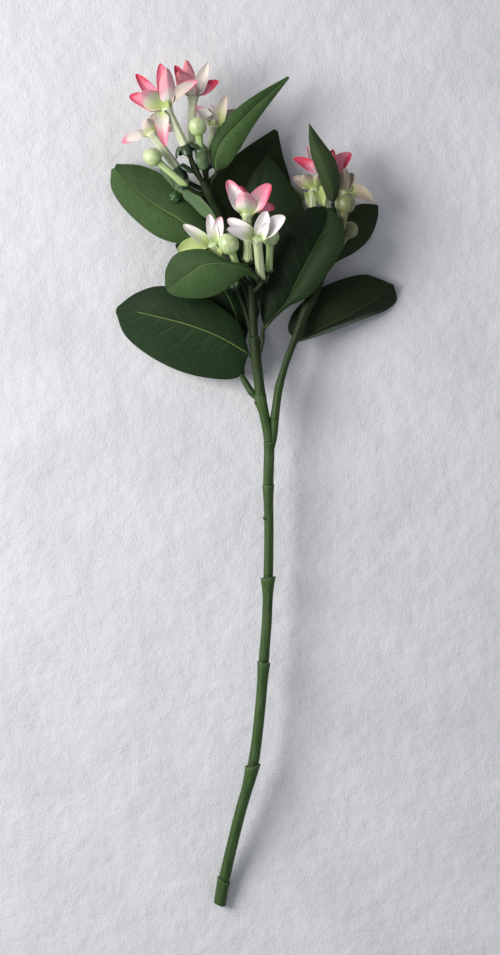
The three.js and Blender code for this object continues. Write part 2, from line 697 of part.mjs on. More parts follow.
const lowerPetioles = petioles.filter(({ grows }) => grows === 'main').map(petioleGeometry);
const knot = ball(knotPlace, knotRadius);
const stub = rodAlong(lineThrough(stubLine), [[0, 1.8], [0.35, 3.0], [1, 2.4]], 8);
const foot = rodAlong(lineThrough(footLine), [[0, 2.6], [0.5, 3.1], [1, 3.4]], 8);
const lumps = nubs.map(([place, radius]) => ball(place, radius));
const upperLeft = [...cluster('a'), [blooms.bloom_b3, 1]];
const centre = cluster('b').filter(([item]) => item !== blooms.bloom_b3);
addPart('main_stem', joined([mainStemGeometry(), knot, stub, foot, ...lumps, ...lowerPetioles]), stemGreen);
addPart('branch_right', branchGeometry(rightLine, rightRadii, 1.6, 'right', cluster('c')), stemGreen);
addPart('branch_left', branchGeometry(leftLine, leftRadii, 1.9, 'left', upperLeft), stemGreen);
addPart('branch_centre', branchGeometry(centreLine, centreRadii, 1.7, 'centre', centre), stemGreen);
for (const [name, leaf] of Object.entries(leaves)) {
  const cloth = leafGeometry(leaf);
  const cup = ball(loneCup.place, loneCup.radius);
  addPart(name, name === loneCup.leaf ? joined([cloth, cup]) : cloth, leafGreen);
}
for (const [name, bloom] of Object.entries(blooms)) {
  addPart(name, bloomGeometry(bloom), petalPink);
}
for (const [name, bud] of Object.entries(buds)) {
  addPart(name, budGeometry(bud), budGreen);
}

export default stem;
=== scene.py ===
"""An artificial madagascar jasmine stem, lying down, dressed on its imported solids.

A jointed moulded stem with three flowering branches, fabric leaves with pale ribs, dyed fabric petals on
moulded tubes, and moulded buds. The tables give places in millimetres, in the frame of the solids.
"""

import math

import bmesh
import bpy
import numpy as np
from bpy.props import FloatProperty, FloatVectorProperty, IntProperty, PointerProperty
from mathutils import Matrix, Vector


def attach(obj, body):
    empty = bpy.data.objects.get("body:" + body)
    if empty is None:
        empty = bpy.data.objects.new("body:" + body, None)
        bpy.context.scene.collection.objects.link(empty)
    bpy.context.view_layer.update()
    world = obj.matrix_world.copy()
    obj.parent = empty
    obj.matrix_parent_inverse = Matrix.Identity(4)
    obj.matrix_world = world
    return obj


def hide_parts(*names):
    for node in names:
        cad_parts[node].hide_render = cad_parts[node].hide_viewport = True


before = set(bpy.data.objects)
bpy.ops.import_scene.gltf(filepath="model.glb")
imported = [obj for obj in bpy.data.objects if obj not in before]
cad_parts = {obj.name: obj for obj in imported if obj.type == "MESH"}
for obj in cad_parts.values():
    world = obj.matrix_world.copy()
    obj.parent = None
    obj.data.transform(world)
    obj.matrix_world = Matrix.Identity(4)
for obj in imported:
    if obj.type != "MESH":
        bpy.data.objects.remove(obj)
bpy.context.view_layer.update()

bl_info = {
    "name": "Madagascar Jasmine Stem",
    "version": (1, 0, 0),
    "blender": (4, 5, 0),
    "location": "View3D > Sidebar > Jasmine",
    "description": "Builds an artificial madagascar jasmine stem and its stage",
    "category": "Object",
}

MM = 0.001

# Each leaf: how light it is, how clear its printed rib is, how far each half swells, then its left edge, rib
# and right edge, base to tip
LEAVES = {
    "leaf_top": (
        0.56, 0.8, 1.5,
        [(-30.5, 244.5, 44), (-34.5, 259.5, 45), (-28, 274, 48), (-16, 289, 47), (1, 302.5, 42),
         (26, 318, 30)],
        [(-29, 243.5, 44), (-29, 254, 47), (-24.5, 265.5, 50), (-12, 279.5, 50), (3.5, 295.5, 44),
         (27, 318, 30)],
        [(-27.5, 243.5, 44), (-20, 247.5, 43), (-11, 259.5, 46), (-2, 275, 46), (11, 294, 41),
         (28, 317, 30)],
    ),
    "leaf_back_upper": (
        0.08, 0, 1.5,
        [(-9.5, 166.5, 20), (-24.5, 184, 14), (-39.5, 207, 12), (-39.5, 233.5, 12), (-14.5, 258, 12),
         (16, 279, 12)],
        [(-8, 166.5, 20), (-6.5, 184, 18), (-3.5, 206, 16), (3, 231, 14), (10, 256, 13), (17, 278.5, 12)],
        [(-7, 166.5, 20), (6.5, 184, 14), (24.5, 206.5, 9), (30, 231.5, 7), (23, 259, 10), (19, 277.5, 12)],
    ),
    "leaf_back_lower": (
        0.05, 0.05, 1.5,
        [(1.5, 144.5, 25), (-2.5, 169.5, 22), (-7.5, 193, 22), (-10.5, 217, 22), (-2.5, 240, 21),
         (10, 258, 22)],
        [(2.5, 144.5, 25), (2.5, 168, 25), (2.5, 191.5, 25), (4.5, 214.5, 25), (6.5, 238, 24),
         (11, 258, 22)],
        [(4, 144.5, 25), (21.5, 166.5, 24), (37, 191.5, 25), (38.5, 217, 27), (26, 239.5, 24),
         (12.5, 257, 22)],
    ),
    "leaf_left": (
        0.4, 0.9, 2,
        [(-32, 188.5, 25), (-49.5, 187.5, 21), (-74.5, 194, 18), (-98, 213, 14), (-111, 232, 10),
         (-111.5, 248, 8)],
        [(-31.5, 190, 25), (-45, 199, 24), (-60.5, 209.5, 23), (-77, 219.5, 20), (-93.5, 232.5, 16),
         (-109, 248.5, 10)],
        [(-31, 191, 25), (-37, 205.5, 22), (-52.5, 223.5, 20), (-68.5, 240.5, 17), (-87, 250, 13),
         (-107.5, 252, 9)],
    ),
    "leaf_strip": (
        1.1, 0, 0.8,
        [(-29, 204.5, 29.5), (-39.5, 210, 24), (-50.5, 220.5, 23), (-59.5, 229, 22), (-68.5, 239, 22),
         (-73.5, 246.5, 26)],
        [(-28.5, 205, 30), (-36, 213.5, 28), (-45.5, 223, 27), (-55, 232, 26), (-64.5, 239.5, 26),
         (-73, 247, 26)],
        [(-27.5, 205.5, 30.5), (-34, 216.5, 32), (-42.5, 226, 31), (-51.5, 234, 30), (-62, 241, 29),
         (-72, 247.5, 26)],
    ),
    "leaf_front": (
        0.38, 0.55, 1.5,
        [(3, 157.5, 54), (-6.5, 161.5, 59.5), (-19, 152.5, 58), (-32, 146, 55), (-47.5, 144.5, 52),
         (-60, 146.5, 48), (-66.5, 150, 46)],
        [(4.5, 158.5, 54.5), (-6, 166, 61.5), (-20.5, 170.5, 64), (-37.5, 170, 63), (-48, 164, 59),
         (-57.5, 158, 53), (-67, 151.5, 46)],
        [(6, 160, 54), (-6, 170, 61.5), (-20.5, 173, 62), (-38, 182, 59), (-58.5, 179.5, 54),
         (-67.5, 168, 49), (-68.5, 153.5, 46)],
    ),
    "leaf_large": (
        0.085, 0.9, 2.5,
        [(-4.5, 100.5, 30), (-13, 84, 23), (-43.5, 85.5, 15), (-75, 97.5, 7), (-99.5, 116.5, -0.5),
         (-108, 135.5, 5.5)],
        [(-3.5, 102, 31), (-24.5, 114.5, 33), (-48, 124, 32), (-73, 131, 27), (-91.5, 135.5, 19),
         (-107.5, 138, 9)],
        [(-3.5, 104, 31), (-12, 127, 30), (-38, 146.5, 28), (-69, 155.5, 24), (-90.5, 151, 16),
         (-106, 140.5, 9)],
    ),
    "leaf_centre_right": (
        0.065, 0.7, 4,
        [(8, 124, 34), (5.5, 135, 29), (4.5, 152, 29), (6.5, 174, 31), (14.5, 190.5, 37), (26, 201, 42),
         (41.5, 214.5, 42), (55.5, 216.5, 40)],
        [(9, 123, 34), (16.5, 132.5, 33.5), (25, 142, 35), (33.5, 158.5, 38), (42, 175, 42),
         (50, 189.5, 45), (55.5, 201.5, 45), (57.5, 214.5, 41)],
        [(10, 122.5, 34), (18, 131, 35.5), (27.5, 139, 38.5), (44, 147.5, 42), (57.5, 164.5, 47),
         (68.5, 182, 51), (70, 200.5, 49), (60, 215.5, 42)],
    ),
    "leaf_far_right": (
        0.09, 0.1, 1.5,
        [(52, 169, 25), (56, 189.5, 19), (63, 203.5, 17), (71.5, 214, 13), (83.5, 220.5, 8),
         (96.5, 220.5, 3)],
        [(53.5, 168, 25), (63, 182, 23), (72, 194, 19), (81, 204.5, 14), (90, 213.5, 8), (97.5, 220, 3)],
        [(54.5, 167, 25), (66, 175, 20), (79.5, 182.5, 14), (90, 192.5, 7), (97, 207, 0), (98, 218.5, 3)],
    ),
    "leaf_low_right": (
        0.04, 0.15, 1.5,
        [(33.5, 113.5, 22), (27, 121.5, 20), (31.5, 135.5, 20), (47.5, 151, 19), (65.5, 160, 17),
         (85, 165, 13), (95.5, 163, 10), (109, 157.5, 8)],
        [(34.5, 112.5, 22), (47, 119.5, 23), (60.5, 126.5, 24), (73, 132, 23), (84.5, 139, 20),
         (95, 145.5, 16), (104, 152, 11), (109.5, 157.5, 8)],
        [(36, 112, 22), (47.5, 115.5, 19), (61.5, 120.5, 16), (75.5, 126, 13), (90.5, 132, 9),
         (104, 137.5, 4), (112.5, 145.5, 0.5), (110, 157, 7.5)],
    ),
    "leaf_upright": (
        0.19, 0.1, 1,
        [(61, 219, 40), (56, 225.5, 39), (50.5, 240, 42), (45, 254.5, 44), (43, 267, 44), (43, 280, 42)],
        [(61.5, 219, 40), (61, 227.5, 44), (57.5, 238.5, 48), (52, 251.5, 50), (47, 265, 48),
         (43.5, 280.5, 42)],
        [(62.5, 219, 40), (66, 227.5, 40), (66.5, 240.5, 43), (62.5, 253.5, 46), (54.5, 265, 45),
         (43.5, 280, 42)],
    ),
    "leaf_under": (
        0.03, 0.9, 1.5,
        [(-9.5, 109.5, 22), (-24.5, 125.5, 17), (-38, 145, 14), (-47.5, 162.5, 11), (-56, 175.5, 11),
         (-61.5, 188.5, 11)],
        [(-8, 109.5, 22), (-13, 130.5, 22), (-20.5, 148.5, 20), (-32.5, 167, 16), (-46, 179.5, 13),
         (-60.5, 189, 12)],
        [(-7, 109.5, 22), (-2.5, 131, 18), (-7.5, 151.5, 15), (-20, 173.5, 13), (-38, 186.5, 12),
         (-60, 190, 12)],
    ),
}

# Each bloom: the mouth and foot of its tube, the root of its stalk, and its petals. A petal is its tip, its
# half width, how pink its end is, how dull it is and, above one, how much painted shade darkens it, how far
# the green of the throat runs out into it, and how much further the dye runs along one edge.
BLOOMS = {
    "bloom_a1": (
        (-67, 291, 54), (-52, 260, 48), (-31, 220, 34),
        [
            ((-91, 318, 50), 5.6, 0.95, 0.1, 0.2, 0),
            ((-96, 301, 48), 6.4, 0.9, 0.1, 0.2, 0),
            ((-72, 326, 52), 6.2, 0.8, 0.1, 0.25, 0),
            ((-67, 321, 66), 6.8, 0.72, 0, 0.35, -0.25),
            ((-87, 302, 64), 8.4, 0.35, 0.6, 0.85, 0),
            ((-68, 262, 52), 5.8, 0.4, 0.75, 0.5, 0),
            ((-43, 312, 58), 4.6, 0.25, 0.95, 0.3, 0),
        ],
    ),
    "bloom_a2": (
        (-79, 273, 38), (-56, 242, 35), (-34, 229, 34),
        [
            ((-102, 266, 35), 4.4, 0.3, 0.6, 0.3, 0),
            ((-83, 284, 42), 6.4, 0.05, 0.9, 0.7, 0),
            ((-73, 290, 34), 5.6, 0.05, 0.8, 0.5, 0),
            ((-70, 268, 33), 4.5, 0.2, 0.6, 0.3, 0),
            ((-63, 276, 31), 4.5, 0.2, 0.7, 0.3, 0),
        ],
    ),
    "bloom_a3": (
        (-47, 301, 41), (-49, 262, 36), (-34, 230, 35),
        [
            ((-52, 329, 48), 5.6, 1, 0.1, 0.15, 0),
            ((-61, 326, 38), 5, 1.1, 0.1, 0.15, 0),
            ((-35, 327, 46), 5.6, 0.05, 0.65, 0.25, 0),
            ((-27, 313, 44), 4.8, 1.2, 0.1, 0.15, 0),
            ((-58, 320, 52), 6.8, 0.85, 0.45, 0.2, 0),
        ],
    ),
    "bloom_a4": (
        (-30, 278, 36), (-36, 248, 32), (-33, 228, 34),
        [
            ((-45, 293, 46), 5.2, 0.25, 0.35, 0.45, 0),
            ((-33, 295, 40), 4.8, 0.15, 0.6, 0.5, 0),
            ((-21, 303, 40), 5.2, 0.02, 1, 0.8, 0),
            ((-14, 292, 34), 5, 0.02, 1, 0.8, 0),
            ((-17, 273, 30), 5, 0.02, 0.9, 0.7, 0),
        ],
    ),
    "bloom_b1": (
        (-5, 209, 70), (-4, 173, 51), (0, 155, 43),
        [
            ((-20, 234, 72), 6.2, 0.3, 0.05, 0.4, 0),
            ((-12, 230, 64), 6, 0.9, 0.05, 0.4, 0),
            ((-7, 224, 84), 7.6, 0.5, 0.05, 0.65, 0),
            ((13, 231, 74), 7, 0.75, 0, 0.4, -0.6),
            ((16, 213, 66), 4.5, 0.8, 0.05, 0.4, 0),
        ],
    ),
    "bloom_b2": (
        (3, 189, 71), (6, 159, 47), (0, 152, 42),
        [
            ((-20, 204, 72), 5.2, 0.1, 0, 0.65, 0),
            ((-20, 196, 82), 5, 0.05, 0, 0.6, 0),
            ((10, 210, 78), 6, 0.02, 0, 0.5, 0),
            ((11, 201, 80), 4.2, 0.02, 0, 0.55, 0),
            ((24, 206, 76), 6.4, 0.05, 0, 0.5, 0),
        ],
    ),
    "bloom_b3": (
        (-31, 186, 53), (-14, 154, 38), (-2, 119, 29),
        [
            ((-54, 201, 56), 4.8, 0.03, 0, 0.85, 0),
            ((-34, 209, 58), 4.6, 0.06, 0, 0.6, 0),
            ((-25, 207, 60), 4.8, 0.2, 0, 0.6, 0),
            ((-58, 179, 49), 7, 0, 0, 1.8, 0),
            ((-28, 172, 51), 6.8, 0, 0, 1.8, 0),
        ],
    ),
    "bloom_c1": (
        (56, 241, 30), (56, 202, 24), (60, 182, 29),
        [
            ((31, 254, 32), 4.8, 1.3, 0, 0.15, 0),
            ((42, 264, 28), 5, 0.25, 0.3, 0.2, 0),
            ((62, 261, 34), 5.2, 0.9, 0.3, 0.2, 0),
            ((76, 258, 34), 6.8, 1.05, 0, 0.15, -0.9),
            ((67, 230, 24), 5, 0.1, 0.3, 0.3, 0),
        ],
    ),
    "bloom_c2": (
        (69, 228, 34), (64, 202, 30), (61, 184, 30),
        [
            ((71, 246, 40), 5.6, 0, 1.5, 0.4, 0),
            ((92, 221, 34), 5.8, 0, 1.3, 0.5, 0),
            ((77, 243, 31), 5, 0, 1.5, 0.4, 0),
            ((62, 236, 30), 4.5, 0, 1.4, 0.4, 0),
            ((77, 216, 30), 4.5, 0, 0.7, 0.6, 0),
        ],
    ),
    "bloom_c3": (
        (47, 230, 32), (46, 199, 29), (58, 179, 29),
        [
            ((31, 239, 34), 4.8, 0, 1.2, 0.6, 0),
            ((39, 241, 40), 5.4, 0, 1.25, 0.75, 0),
            ((50, 241, 38), 4.8, 0, 1.3, 0.9, 0),
            ((43, 217, 31), 4.6, 0, 0.35, 1.3, 0),
            ((54, 217, 38), 4.8, 0, 0.3, 1.7, 0),
        ],
    ),
}

# Each bud: the middle of its head, the foot and root of its stalk, and its radius
BUDS = {
    "bud_a1": ((-78, 254, 48), (-52, 232, 43), (-33, 225, 34), 7.2),
    "bud_a2": ((-43, 277, 54), (-40, 253, 44), (-33, 227, 34), 7),
    "bud_b1": ((-19, 186, 62), (-11, 165, 49), (-1, 156, 43), 8),
    "bud_b2": ((13, 192, 56), (12, 166, 42), (0, 154, 43), 7),
    "bud_c1": ((34, 226, 16), (43, 206, 21), (56, 175, 29), 6.3),
    "bud_c2": ((72, 218, 43), (68, 196, 36), (61, 183, 30), 7),
    "bud_c3": ((75, 199, 26), (66, 185, 28), (60, 180, 29), 6.5),
}

# The middle lines of the stem and its branches, from the cut end outwards
MAIN_LINE = [
    (-26.5, -329, 4.5), (-23, -309, 8), (-12, -261.5, 18), (-0.5, -218, 25), (5, -175, 27),
    (8, -137.5, 27), (10.5, -105, 27), (11.5, -71.5, 27), (12, -34.5, 27), (11.5, 0.5, 27),
    (12, 34, 27), (8.5, 55, 28), (5.5, 71, 29), (2.5, 95.5, 31), (0.5, 115.5, 32),
]
RIGHT_LINE = [
    (16.5, 52.5, 27.5), (18.5, 68, 28), (20, 77, 29), (23.5, 89.5, 29.5), (27, 100.5, 30),
    (31.5, 112, 31), (35, 121, 31), (41, 136.5, 30), (45.5, 146, 29), (53.5, 164, 29), (61, 184, 30),
]
LEFT_LINE = [
    (-1, 116, 28.5), (-2.5, 135, 26.5), (-5, 150.5, 26.5), (-10.5, 168, 28), (-16.5, 188.5, 30),
    (-23.5, 205, 31), (-30.5, 218, 35), (-35, 227, 38), (-39, 236, 40),
]
CENTRE_LINE = [(0.5, 116, 34.5), (-0.5, 133, 36.5), (-1, 146, 40), (-1.5, 156, 44)]

# The stalks of the leaves: the leaf, the branch it grows on and the line towards the leaf's base
PETIOLES = [
    ("leaf_top", "left", [(-33, 225.5, 34), (-32.5, 235.5, 38)]),
    ("leaf_back_upper", "left", [(-7, 157.5, 27), (-8, 161, 23)]),
    ("leaf_left", "left", [(-15, 183, 30), (-23, 186.5, 27)]),
    ("leaf_strip", "left", [(-19, 194, 30), (-23.5, 200.5, 30.5)]),
    ("leaf_back_lower", "centre", [(0.5, 127, 35.5), (3, 135, 29)]),
    ("leaf_front", "centre", [(-0.5, 151, 41), (2.5, 152, 50)]),
    ("leaf_large", "main", [(2.5, 98.5, 31), (-0.5, 100, 31)]),
    ("leaf_centre_right", "main", [(3, 95.5, 31), (5, 104, 31.5), (7, 113, 32.5)]),
    ("leaf_under", "main", [(-8.5, 84, 23.5), (-8.5, 93, 20.5)]),
    ("leaf_far_right", "right", [(47, 150, 29), (50, 159.5, 26.5)]),
    ("leaf_low_right", "right", [(29, 104, 30), (30, 108.5, 25)]),
    ("leaf_upright", "right", [(61, 184, 30), (64, 198.5, 35), (63, 212, 39)]),
]

# The segments of the main stem: first and last point of its middle line, radius at the foot, radius of the
# lip and how far the lip slants
SEGMENTS = [
    (0, 1, 4.8, 5.4, 1.6),
    (1, 3, 4.3, 5.9, -2.0),
    (3, 5, 4.1, 5.2, 0.6),
    (5, 7, 3.9, 6.0, -0.8),
    (7, 9, 3.7, 4.8, -0.4),
    (9, 10, 4.1, 4.4, 0.4),
    (10, 12, 3.9, 4.4, 0.3),
    (12, 14, 4.0, 4.5, 0.0),
]

# The knot, two nubs, the side stub from the knot and the foot that the right branch stands on
KNOT = (5, 65, 28.5)
KNOT_RADIUS = 4.3
NUBS = [((9, -25.5, 29), 1.6), ((-8.5, 85.5, 24), 1.7)]
STUB = [(2.5, 67.5, 28.5), (-2.5, 74, 26.5), (-8.5, 84, 24)]
FOOT = [(12.5, 23, 27), (15.5, 38.5, 27), (16.5, 52, 27.5)]

# Radii of the branches, spread evenly from foot to end
RIGHT_RADII = (3.4, 3.3, 3.2, 2.8, 2.6, 2.9, 3.3, 4.3, 4.4, 3.4, 2.6)
LEFT_RADII = (2.4, 2.4, 2.5, 2.6, 2.6, 2.6, 3.2, 3.6, 3.2)
CENTRE_RADII = (3.2, 3.0)

# Sizes of the calyxes and how far they are stretched. The lobes of a wide one hang back. One bud stands in a
# long pale cup, and one cup lies without a flower on a leaf.
BLOOM_CALYX = (1.0, 1)
BUD_CALYX = (0.68, 1)
CALYXES = {"bloom_a1": (1.35, 1.3), "bloom_a2": (1.35, 2), "bud_a1": (0.9, 1)}
WIDE_CALYX = 1.1
LONG_CUP = "bud_a2"
LONE_CALYX = (0.85, 0.7)
LONE_CUP = (-61, 225.5, 25.2)
LONE_CUP_HEAD = (-60, 223.5, 15)

# This bloom stands in the centre cluster and grows from the upper left branch
STRAY_BLOOM = "bloom_b3"


def colour_setting(name, default, words):
    return FloatVectorProperty(
        name=name, description=words, subtype="COLOR", size=3, min=0, max=1, default=default
    )


def length_setting(name, default, words):
    return FloatProperty(name=name, description=words, unit="LENGTH", min=0, default=default)


def count_setting(name, default, words):
    return IntProperty(name=name, description=words, min=3, default=default)


class StemSizes(bpy.types.PropertyGroup):
    """Sizes of the stem's fine surface"""

    leaf_thickness: length_setting("Leaf thickness", 0.0005, "Thickness of the leaf fabric")
    petal_thickness: length_setting("Petal thickness", 0.0004, "Thickness of the petal fabric")
    weave_pitch: length_setting("Weave pitch", 0.0007, "Distance between the threads of the leaf fabric")
    stem_sides: count_setting("Stem sides", 40, "Faces around the main stem")
    stalk_sides: count_setting("Stalk sides", 20, "Faces around a branch or stalk")
    bud_sides: count_setting("Bud sides", 40, "Faces around a bud or tube")
    rib_sides: count_setting("Rib sides", 10, "Faces around the rib of a leaf")
    leaf_rows: count_setting("Leaf rows", 64, "Rows of a leaf from base to tip")
    petal_rows: count_setting("Petal rows", 20, "Rows of a petal from base to tip")


class StemColours(bpy.types.PropertyGroup):
    """Colours of the stem's finishes and its light"""

    stem: colour_setting("Stem", (0.045, 0.090, 0.025), "Moulded lower stem")
    stem_old: colour_setting("Old stem", (0.015, 0.027, 0.0078), "Upper stem and branches")
    leaf_deep: colour_setting("Deep leaf", (0.0045, 0.0150, 0.0052), "Darkest leaves")
    leaf_light: colour_setting("Light leaf", (0.088, 0.168, 0.053), "Lightest leaves")
    leaf_rib: colour_setting("Leaf rib", (0.20, 0.30, 0.085), "Pale ribs and veins")
    petal_white: colour_setting("Petal white", (0.86, 0.81, 0.81), "Undyed petal")
    petal_pink: colour_setting("Petal pink", (0.86, 0.22, 0.35), "Middle of the dyed end")
    petal_crimson: colour_setting("Petal crimson", (0.60, 0.02, 0.07), "Outermost end of a petal")
    petal_dull: colour_setting("Dull petal", (0.47, 0.38, 0.29), "Outer side of the folded petals")
    throat: colour_setting("Throat", (0.34, 0.47, 0.075), "Base of the petals")
    tube: colour_setting("Tube", (0.60, 0.63, 0.45), "Moulded tubes of the blooms")
    bud: colour_setting("Bud", (0.35, 0.49, 0.175), "Moulded buds")
    calyx: colour_setting("Calyx", (0.013, 0.034, 0.011), "Small cups under the blooms")
    floor: colour_setting("Floor", (0.655, 0.66, 0.69), "Surface that the stem lies on")
    key_power: FloatProperty(
        name="Key power", description="Power of the large soft light", unit="POWER", default=30.5
    )
    fill: FloatProperty(name="Fill", description="Strength of the light from all around", default=0.41)


def sizes():
    return bpy.context.scene.jasmine_sizes


def colours():
    return bpy.context.scene.jasmine_colours


# Shader and geometry trees


class Kit:
    """Adds nodes to one tree."""

    def __init__(self, tree):
        self.tree = tree
        tree.nodes.clear()

    def add(self, kind, settings=None, sockets=None):
        """A node of this kind: its settings first, then the values or links of its sockets."""
        node = self.tree.nodes.new(kind)
        for name, value in (settings or {}).items():
            setattr(node, name, value)
        for name, value in (sockets or {}).items():
            self.feed(node.inputs[name], value)
        return node

    def feed(self, socket, value):
        if isinstance(value, Value):
            value = value.socket
        if isinstance(value, bpy.types.NodeSocket):
            self.tree.links.new(value, socket)
        elif socket.type == "RGBA" and len(value) == 3:
            socket.default_value = (*value, 1)
        else:
            socket.default_value = value

    def math(self, operation, *values):
        node = self.add("ShaderNodeMath", {"operation": operation}, dict(enumerate(values)))
        return Value(self, node.outputs[0])

    def smooth(self, value, low, high):
        """0 below low, 1 above high, and a smooth step between them."""
        node = self.add(
            "ShaderNodeMapRange",
            {"interpolation_type": "SMOOTHSTEP"},
            {"Value": value, "From Min": low, "From Max": high},
        )
        return Value(self, node.outputs[0])

    def mix(self, share, first, second, blend="MIX"):
        """A colour between two others."""
        settings = {"data_type": "RGBA", "blend_type": blend}
        node = self.add("ShaderNodeMix", settings, {0: share, 6: first, 7: second})
        return node.outputs[2]

    def mark(self, name):
        """A number that the mesh carries."""
        node = self.add("ShaderNodeAttribute", {"attribute_name": name})
        return Value(self, node.outputs["Fac"])

    def places(self, name):
        """Both directions of a UV map."""
        node = self.add("ShaderNodeUVMap", {"uv_map": name})
        parts = self.add("ShaderNodeSeparateXYZ", {}, {0: node.outputs[0]})
        return Value(self, parts.outputs[0]), Value(self, parts.outputs[1])

    def grain(self):
        """Millimetres across, up and along a moulded piece, which its mesh carries."""
        carried = self.add("ShaderNodeAttribute", {"attribute_name": "grain"}).outputs["Vector"]
        parts = self.add("ShaderNodeSeparateXYZ", {}, {0: carried})
        return [Value(self, parts.outputs[i]) for i in range(3)]

    def point(self, x, y, z):
        return self.add("ShaderNodeCombineXYZ", {}, {0: x, 1: y, 2: z}).outputs[0]

    def noise(self, vector, scale, detail=2.0):
        sockets = {"Vector": vector, "Scale": scale, "Detail": detail}
        return Value(self, self.add("ShaderNodeTexNoise", {}, sockets).outputs[0])

    def object_place(self):
        return self.add("ShaderNodeTexCoord").outputs["Object"]

    def finish(self, colour, roughness, height, coat=None, **constants):
        """The surface itself. The height is in millimetres."""
        bump = self.add("ShaderNodeBump", {}, {"Distance": MM, "Height": height})
        sockets = {"Base Color": colour, "Roughness": roughness, "Normal": bump.outputs[0]}
        if coat is not None:
            sockets["Coat Weight"] = coat
        sockets.update({name.replace("_", " "): value for name, value in constants.items()})
        shader = self.add("ShaderNodeBsdfPrincipled", {}, sockets)
        self.add("ShaderNodeOutputMaterial", {}, {"Surface": shader.outputs[0]})


class Value:
    """A number in a tree. Each operator adds one node."""

    def __init__(self, kit, socket):
        self.kit = kit
        self.socket = socket

    def __add__(self, other):
        return self.kit.math("ADD", self, other)

    __radd__ = __add__

    def __sub__(self, other):
        return self.kit.math("SUBTRACT", self, other)

    def __rsub__(self, other):
        return self.kit.math("SUBTRACT", other, self)

    def __mul__(self, other):
        return self.kit.math("MULTIPLY", self, other)

    __rmul__ = __mul__

    def __abs__(self):
        return self.kit.math("ABSOLUTE", self)

    def sin(self):
        return self.kit.math("SINE", self)

    def cos(self):
        return self.kit.math("COSINE", self)

    def fraction(self):
        return self.kit.math("FRACT", self)


def material(name):
    made = bpy.data.materials.get(name)
    if made:
        return made, None
    made = bpy.data.materials.new(name)
    made.use_nodes = True
    return made, Kit(made.node_tree)


# Fixed shades of the stem: where it is rubbed, the rims of its lips, the gaps in its joints, and how much its
# streaks darken and lighten it. Its upper finish sets in over these places in metres.
STEM_WORN = (0.085, 0.11, 0.06)
STEM_RIM = (0.10, 0.17, 0.065)
STEM_GAP = (0.006, 0.010, 0.005)
STREAK_DARK = (0.62, 0.62, 0.6)
STREAK_LIGHT = (1.35, 1.32, 1.3)
UPPER_FROM, UPPER_TO = 0.05, 0.15


def moulded_stem():
    """Satin green plastic with fine lengthwise streaks, duller and browner above the fork."""
    made, kit = material("moulded_stem")
    if kit:
        c = colours()
        x, y, run = kit.grain()
        place = kit.add("ShaderNodeSeparateXYZ", {}, {0: kit.object_place()})
        streaks = kit.noise(kit.point(x, y, run * 0.03), 1.7, 3.0)
        fibres = kit.noise(kit.point(x * 3.0, y * 3.0, run * 0.12), 1.6, 2.0)
        patches = kit.noise(kit.object_place(), 55.0, 3.0)
        upper = kit.smooth(Value(kit, place.outputs[1]) + patches * 0.03, UPPER_FROM, UPPER_TO)
        plain = kit.mix(upper, c.stem, c.stem_old)
        dark = kit.mix(1.0, plain, STREAK_DARK, "MULTIPLY")
        light = kit.mix(1.0, plain, STREAK_LIGHT, "MULTIPLY")
        colour = kit.mix(kit.smooth(streaks, 0.35, 0.7), dark, light)
        wear = kit.smooth(patches, 0.5, 0.75) * (0.3 - 0.22 * upper)
        colour = kit.mix(wear, colour, STEM_WORN)
        colour = kit.mix(kit.mark("rim") * 0.4 * (1.0 - upper * 0.8), colour, STEM_RIM)
        colour = kit.mix(kit.mark("gap") * 0.85, colour, STEM_GAP)
        roughness = 0.34 + 0.16 * patches + 0.1 * fibres
        kit.finish(colour, roughness, streaks * 0.22 + fibres * 0.07, Specular_IOR_Level=0.17)
    return made


# Fixed shades of a leaf: the deep colour of an olive one, its mottling, a painted highlight along its
# outermost edge, a painted highlight on a rolled margin, a pale grey-green over a turned one that is partly
# the pale back of the cloth and partly painted sheen, and its underside
LEAF_OLIVE = (0.0125, 0.0130, 0.0045)
LEAF_MOTTLE = (0.010, 0.026, 0.008)
LEAF_EDGE_HIGHLIGHT = (0.16, 0.22, 0.10)
LEAF_ROLLED_HIGHLIGHT = (0.13, 0.19, 0.135)
LEAF_PALE_BACK_AND_SHEEN = (0.105, 0.172, 0.088)
LEAF_BACK = (0.06, 0.10, 0.05)

# The side veins: how many there are, how far they lean and bend on their way out, how far those of the right
# half are ahead, and how many fine ones there are for each
VEINS = 9.0
VEIN_LEAN = 0.3
VEIN_BEND = 0.08
VEIN_SHIFT = 0.037
FINE_VEINS = 3.0


